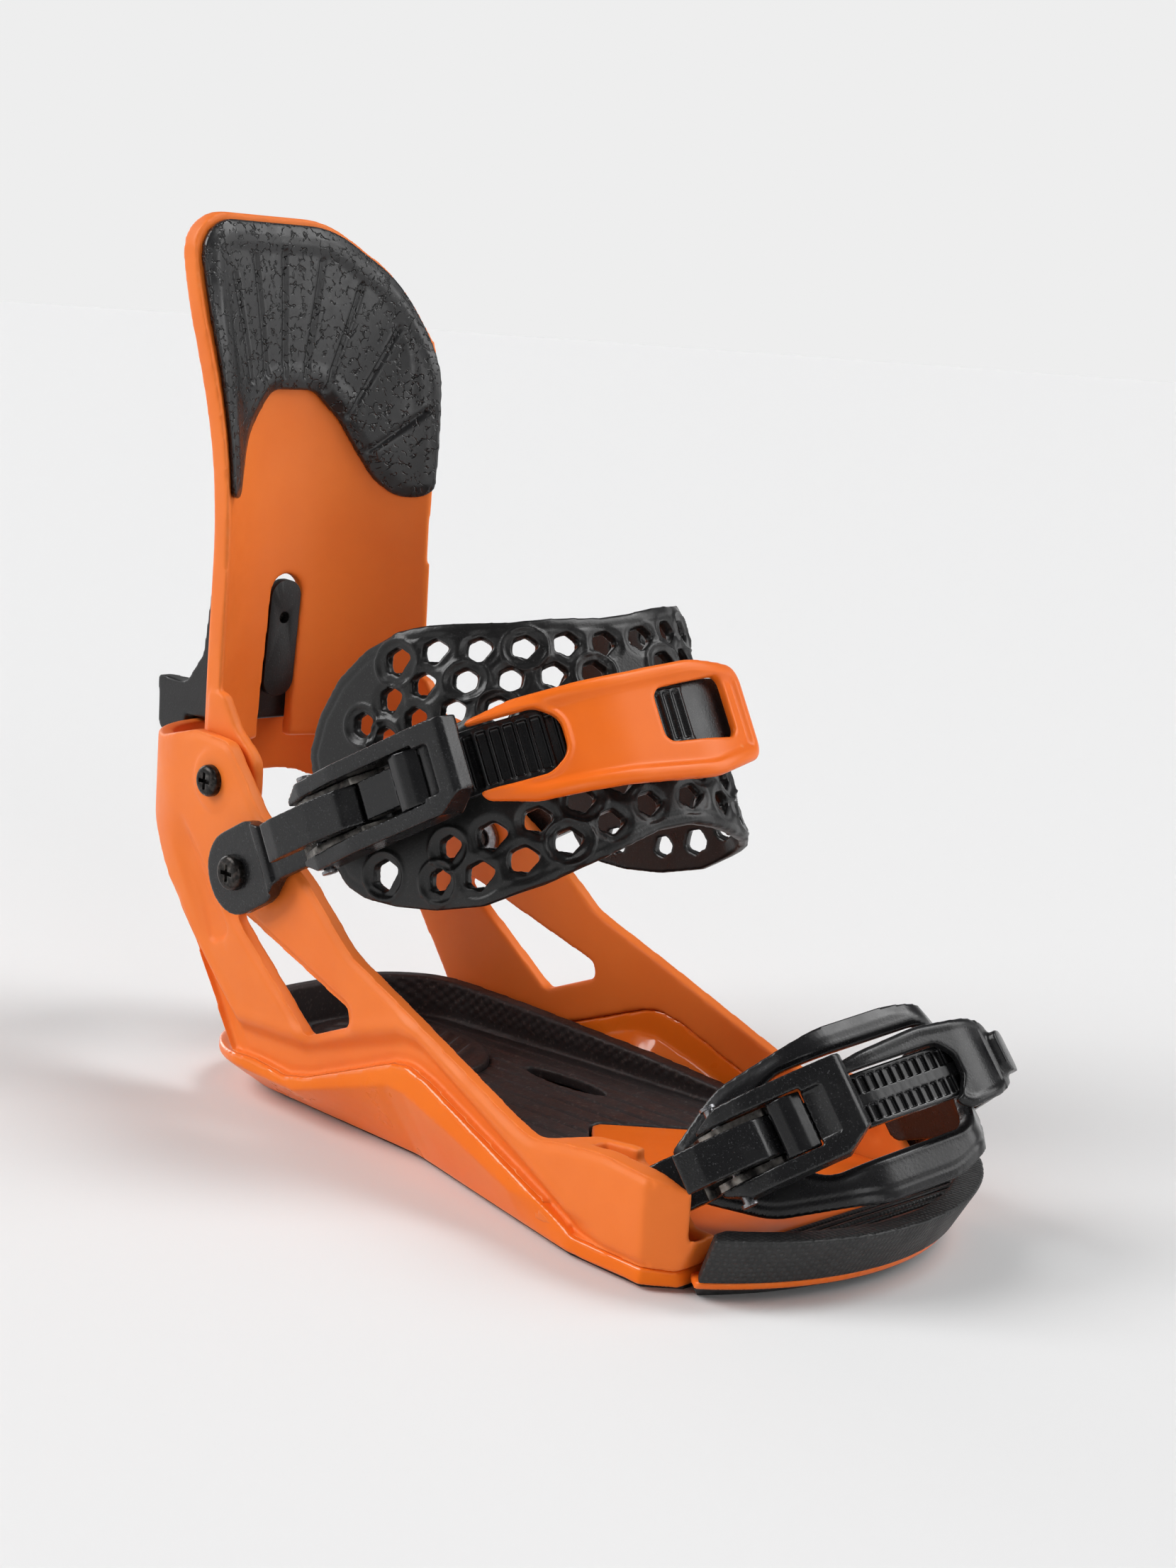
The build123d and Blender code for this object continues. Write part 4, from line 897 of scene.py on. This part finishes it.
# ---- footbed ----------------------------------------------------------------------------------
FOOTBED_TOP = 13.0
HEEL_PAD_X = -74.0
HEEL_PAD_HALF = (32.8, 26.8)
RIB_PITCH = 6.5


def make_footbed(paint):
    """Moulded footbed with long grooves that fan towards the toe and ribs on its walls."""
    mesh = fused(cad_mesh_mm("footbed"), 0.62, 3)
    points = read_points(mesh)
    normals = read_normals(mesh)
    x, y, z = points.T.copy()
    level = smoothstep(normals[:, 2], 0.75, 0.95)
    level *= 1 - smoothstep(z, FOOTBED_TOP + 1, FOOTBED_TOP + 2)
    level *= smoothstep(z, FOOTBED_TOP - 1.5, FOOTBED_TOP - 0.5)
    spacing = 6.4 * (1 + 0.0022 * (x + 80))
    away = np.abs(y / spacing - np.round(y / spacing)) * spacing
    points[:, 2] -= 0.75 * np.exp(-(away / 0.6) ** 2) * level
    wall = smoothstep(z, FOOTBED_TOP + 2.5, FOOTBED_TOP + 5)
    wall *= smoothstep(1 - np.abs(normals[:, 2]), 0.3, 0.7)
    ribs = 0.5 + 0.5 * np.sin(x * 2 * math.pi / 4.2) * np.sin(z * 2 * math.pi / 3.6)
    points[:, 1] -= np.sign(y) * 0.45 * ribs * wall * (np.abs(normals[:, 1]) > 0.4)
    write_points(mesh, points)
    piece("footbed_mat", mesh, "base", "footbed_rubber", paint["footbed_rubber"], "footbed")


def make_heel_pad(paint):
    """Heel pad with chevron ribs inside a plain rim."""
    mesh = fused(cad_mesh_mm("heel_pad"), 0.45, 3)
    points = read_points(mesh)
    normals = read_normals(mesh)
    x, y = points[:, 0] - HEEL_PAD_X, points[:, 1]
    top = smoothstep(normals[:, 2], 0.6, 0.9)
    rib = np.abs(((x + 0.55 * np.abs(y)) / RIB_PITCH) % 1.0 - 0.5) * 2
    rim = np.hypot(x / HEEL_PAD_HALF[0], y / HEEL_PAD_HALF[1])
    ribs = 0.8 * smoothstep(rib, 0.25, 0.75) * (1 - smoothstep(rim, 0.80, 0.88))
    points[:, 2] += (ribs - 0.35) * top
    write_points(mesh, points)
    pad = piece("heel_cushion", mesh, "base", "footbed_rubber", paint["footbed_rubber"], "heel_pad")


# ---- carried-over CAD nodes -------------------------------------------------------------------
BLACK_STEEL_NODES = ("ankle_buckle_base", "toe_buckle_base", "ankle_spring", "toe_spring")
SOFTENED = {  # voxel in mm and smoothing rounds
    "baseplate": (0.7, 8), "highback": (0.85, 8), "toe_ramp": (0.7, 4), "ramp_plate": (0.8, 3),
    "lean_block": (0.7, 3), "ankle_lever": (0.42, 4), "toe_lever": (0.38, 4),
    "ankle_release": (0.4, 3), "toe_release": (0.35, 3), "ankle_drum": (0.4, 3),
    "toe_drum": (0.35, 3), "ankle_link": (0.5, 4), "ankle_far_link": (0.5, 4),
    "toe_link": (0.4, 3), "toe_far_link": (0.4, 3), "toe_far_strap": (0.4, 3),
}
BEVELLED = ("highback_screws", "ankle_screws", "ankle_nuts", "lean_plate", "lean_screw",
            "ankle_lever_pin", "toe_lever_pin", "ankle_buckle_base", "toe_buckle_base",
            "chassis_screws", "toe_pins")
BEVEL_WIDTH = 0.3


def dress_nodes(paint):
    """Material for every CAD node, and softened edges."""
    slots = {row["node"]: row["material_slot"] for row in frame["record"]["subparts"]}
    for name, obj in NODES.items():
        obj.data.materials.clear()
        obj.data.materials.append(paint[slots[name]])
    NODES["toe_ramp"].data.materials[0] = paint["ramp_rubber"]
    for node in BLACK_STEEL_NODES:
        NODES[node].data.materials[0] = paint["screw_steel"]
    for node, (voxel, rounds) in SOFTENED.items():
        soften_node(node, voxel, rounds)
    for node in BEVELLED:
        bevel_node(node, BEVEL_WIDTH)


# ---- ankle bridge and straps ------------------------------------------------------------------
ANKLE_BAR_PITCH = 3.9
FAR_BAR_PITCH = 3.2


def make_ankle_bridge(paint):
    """Stiff orange shell with a rolled rim and two windows."""
    line = StrapLine(offset=-4.4, **ANKLE)
    s0, s1 = line.s_at(104.5), line.s_at_y(36)
    sy = line.s_at_y
    outline = rounded_loop([(s0, 11), (s0, -12), (sy(-38), -16.5), (sy(-14), -18), (sy(14), -20.5),
                            (s1, -16), (s1, 12), (sy(14), 15), (sy(-14), 14), (sy(-38), 13.5)],
                           [3, 3, 12, 30, 20, 6, 6, 20, 30, 12])
    near = rounded_loop([(s0 - 4, 9.6), (s0 - 4, -9.6), (sy(-34), -9.6), (sy(-28.5), -5),
                         (sy(-28.5), 5), (sy(-34), 9.6)], [0, 0, 7, 6, 6, 7])
    far = rounded_loop([(sy(0), -8), (sy(0), 8), (sy(27), 9.5), (sy(27), -9.5)], [3.5] * 4)
    mesh = fused(plate([outline, far], -2.0, 2.0), 0.6, 2)
    points = read_points(mesh)
    x, y = points[:, 0], points[:, 1]
    rim = edge_distance(x, y, [outline])
    hole = edge_distance(x, y, [near])
    top = points[:, 2] > 0.4
    shape = -1.5 * smoothstep(rim, 3.0, 5.6) + 0.7 * (1 - smoothstep(hole, 0.8, 2.2))
    shape += -0.7 * (1 - smoothstep(rim, 0.0, 1.4))
    points[:, 2] += np.where(top, shape, 0)
    write_points(mesh, points)
    mesh = fused(difference(mesh, plate([near], -8, 8)), 0.55, 3)
    bent(mesh, line)
    piece("ankle_bridge_shell", mesh, "ankle_strap", "bridge_plastic", paint["bridge_plastic"],
          "ankle_bridge")


def make_ankle_ladder(paint):
    """Toothed strap with side rails: thin bars show past the lever."""
    line = StrapLine(**ANKLE)
    start, wide, end = line.s_at(63), line.s_at(97.5), line.s_at_y(-4)
    parts = [bar(wide, end, -9.4, 9.4, -1.1, 0.2, 1.0), bar(start, wide + 2, -6.8, 6.8, -1.1, 0.8)]
    for side in (-1, 1):
        parts.append(bar(wide, end, side * 9.4, side * 7.6, -1.1, 1.6, 0.5))
    for k in range(int((end - wide - 3) / ANKLE_BAR_PITCH)):
        s = wide + 2.5 + ANKLE_BAR_PITCH * k
        parts.append(bar(s, s + 1.0, -8.0, 8.0, -0.4, 1.8, 0.3))
    mesh = fused(joined(parts), 0.3, 1)
    bent(mesh, line)
    piece("ankle_ladder_strap", mesh, "ankle_strap", "ladder_plastic", paint["ladder_plastic"],
          "ankle_ladder")


def make_far_strap(paint):
    """Inner ankle strap: flat, with a few cross bars where it enters the bridge."""
    line = StrapLine(**ANKLE)
    sy = line.s_at_y
    parts = [bar(sy(-3), line.s_at(30, near=False), -10, 10, -1.2, 1.0, 1.5)]
    for k in range(4):
        s = sy(1.5) + FAR_BAR_PITCH * k
        parts.append(bar(s, s + 1.2, -7.4, 7.4, 0.5, 1.9, 0.3))
    for side in (-1, 1):
        parts.append(bar(sy(0), sy(12.5), side * 7.2, side * 8.4, 0.5, 1.9, 0.3))
    mesh = fused(joined(parts), 0.4, 1)
    bent(mesh, line)
    piece("ankle_far_strap_band", mesh, "ankle_strap", "ladder_plastic", paint["buckle_plastic"],
          "ankle_far_strap")


# ---- toe strap --------------------------------------------------------------------------------
TOE_BAR_PITCH = 2.9


def make_toe_ladder(paint):
    """Toothed strap of the toe buckle with a flat middle rib."""
    line = StrapLine(**TOE)
    start, wide, end = line.s_at(36), line.s_at(50.5), line.s_at_y(18)
    parts = [bar(wide, end, -7.4, 7.4, -1.1, 0.3, 1.0), bar(start, wide + 2, -5.3, 5.3, -1.1, 0.8)]
    for side in (-1, 1):
        parts.append(bar(wide, end, side * 7.4, side * 6.2, -1.1, 1.5, 0.5))
    parts.append(bar(wide, end, -1.6, 1.6, -0.5, 1.4, 0.4))
    for k in range(int((end - wide - 2) / TOE_BAR_PITCH)):
        s = wide + 1.5 + TOE_BAR_PITCH * k
        parts.append(bar(s, s + 0.9, -6.4, 6.4, -0.4, 1.3, 0.2))
    mesh = fused(joined(parts), 0.26, 1)
    bent(mesh, line)
    piece("toe_ladder_strap", mesh, "toe_strap", "ladder_plastic", paint["ladder_plastic"],
          "toe_ladder")


def make_toe_tower(paint):
    """Tongue that carries the toe ladder, with a raised rim round its window."""
    line = StrapLine(offset=-3.7, **TOE)
    sy = line.s_at_y
    s0, s1 = sy(-13.5), sy(32)
    low, root = sy(9), s0 - 12
    outline = rounded_loop([(low, -9.6), (low, 0), (root, 0), (root, 10), (s0, 12), (sy(6), 13.5),
                            (sy(24), 11.5), (s1, 8), (s1, -8), (sy(24), -11), (sy(13), -12)],
                           [3, 0, 0, 3, 14, 20, 8, 4, 4, 8, 6])
    window = rounded_loop([(root - 5, -8.6), (root - 5, 7.7), (sy(10), 7.7), (sy(14), 3),
                           (sy(14), -3), (sy(10), -8.6)], [0, 0, 5, 3, 3, 4])
    knob = bar(sy(27.5), sy(35.5), -6, 6, -1.0, 4.2, 2.4)
    arm = bar(root + 1, sy(8), 7.9, 10, -3.4, 0, 0.6)
    mesh = fused(joined([plate([outline], -1.5, 1.5), knob, arm]), 0.45, 2)
    mesh = difference(mesh, plate([window], -8, 8))
    mesh = fused(mesh, 0.45, 2)
    points = read_points(mesh)
    rim = edge_distance(points[:, 0], points[:, 1], [outline])
    top = (points[:, 2] > 0.4) & (points[:, 0] < sy(26))
    sunk = 0.35 * smoothstep(rim, 1.8, 3.2) + 0.5 * (1 - smoothstep(rim, 0, 1.4))
    points[:, 2] -= np.where(top, sunk, 0)
    write_points(mesh, points)
    bent(mesh, line)
    piece("toe_tower_shell", mesh, "toe_strap", "buckle_plastic", paint["buckle_plastic"],
          "toe_tower")


def make_toe_cap(paint):
    """Open cap of two bands that meet at both sides."""
    line = StrapLine(offset=10.0, **TOE)
    sy = line.s_at_y
    s0, s1 = line.s_at(9), line.s_at(9, near=False)
    outline = rounded_loop([(s0, -5), (sy(-33), -18), (sy(-10), -26), (sy(14), -26), (sy(34), -17),
                            (s1, -5), (s1, 9), (sy(34), 19.5), (sy(14), 24), (sy(-10), 24),
                            (sy(-33), 19.5), (s0, 9)],
                           [4, 22, 24, 24, 22, 4, 4, 22, 24, 24, 22, 4])
    opening = rounded_loop([(sy(-33), 1), (sy(-20), -14), (sy(20), -14), (sy(32), -3), (sy(34), 8),
                            (sy(22), 16.5), (sy(-22), 16.5), (sy(-34), 9)],
                           [5, 10, 10, 5, 5, 12, 12, 5])
    mesh = fused(plate([outline, opening], -1.9, 1.9), 0.6, 3)
    points = read_points(mesh)
    rim = edge_distance(points[:, 0], points[:, 1], [outline])
    inner = edge_distance(points[:, 0], points[:, 1], [opening])
    near_edge = np.minimum(rim, inner)
    top = points[:, 2] > 0.4
    shape = 0.6 * smoothstep(near_edge, 0.2, 3.5) - 0.6
    low = points[:, 1] < 0
    shape -= np.where(low, 0.35 * np.exp(-((rim - 3.0) / 0.5) ** 2), 0)
    shape += 0.5 * np.exp(-((inner - 1.6) / 1.0) ** 2)
    points[:, 2] += np.where(top, shape, 0)
    write_points(mesh, points)
    bent(mesh, line)
    cap = piece("toe_cap_pad", mesh, "toe_strap", "pad_foam", paint["toe_foam"], "toe_cap")


# ---- the scene --------------------------------------------------------------------------------
make_camera()
make_world()
make_floor()
sun_light("key_sun", (-0.30, -0.42, -1.0), 0.85, 22)
PAINT = make_materials()
dress_nodes(PAINT)
make_chassis(PAINT)
make_footbed(PAINT)
make_heel_pad(PAINT)
make_highback_pad(PAINT)
make_ankle_pad(PAINT)
make_ankle_bridge(PAINT)
make_ankle_ladder(PAINT)
make_far_strap(PAINT)
make_toe_ladder(PAINT)
make_toe_tower(PAINT)
make_toe_cap(PAINT)
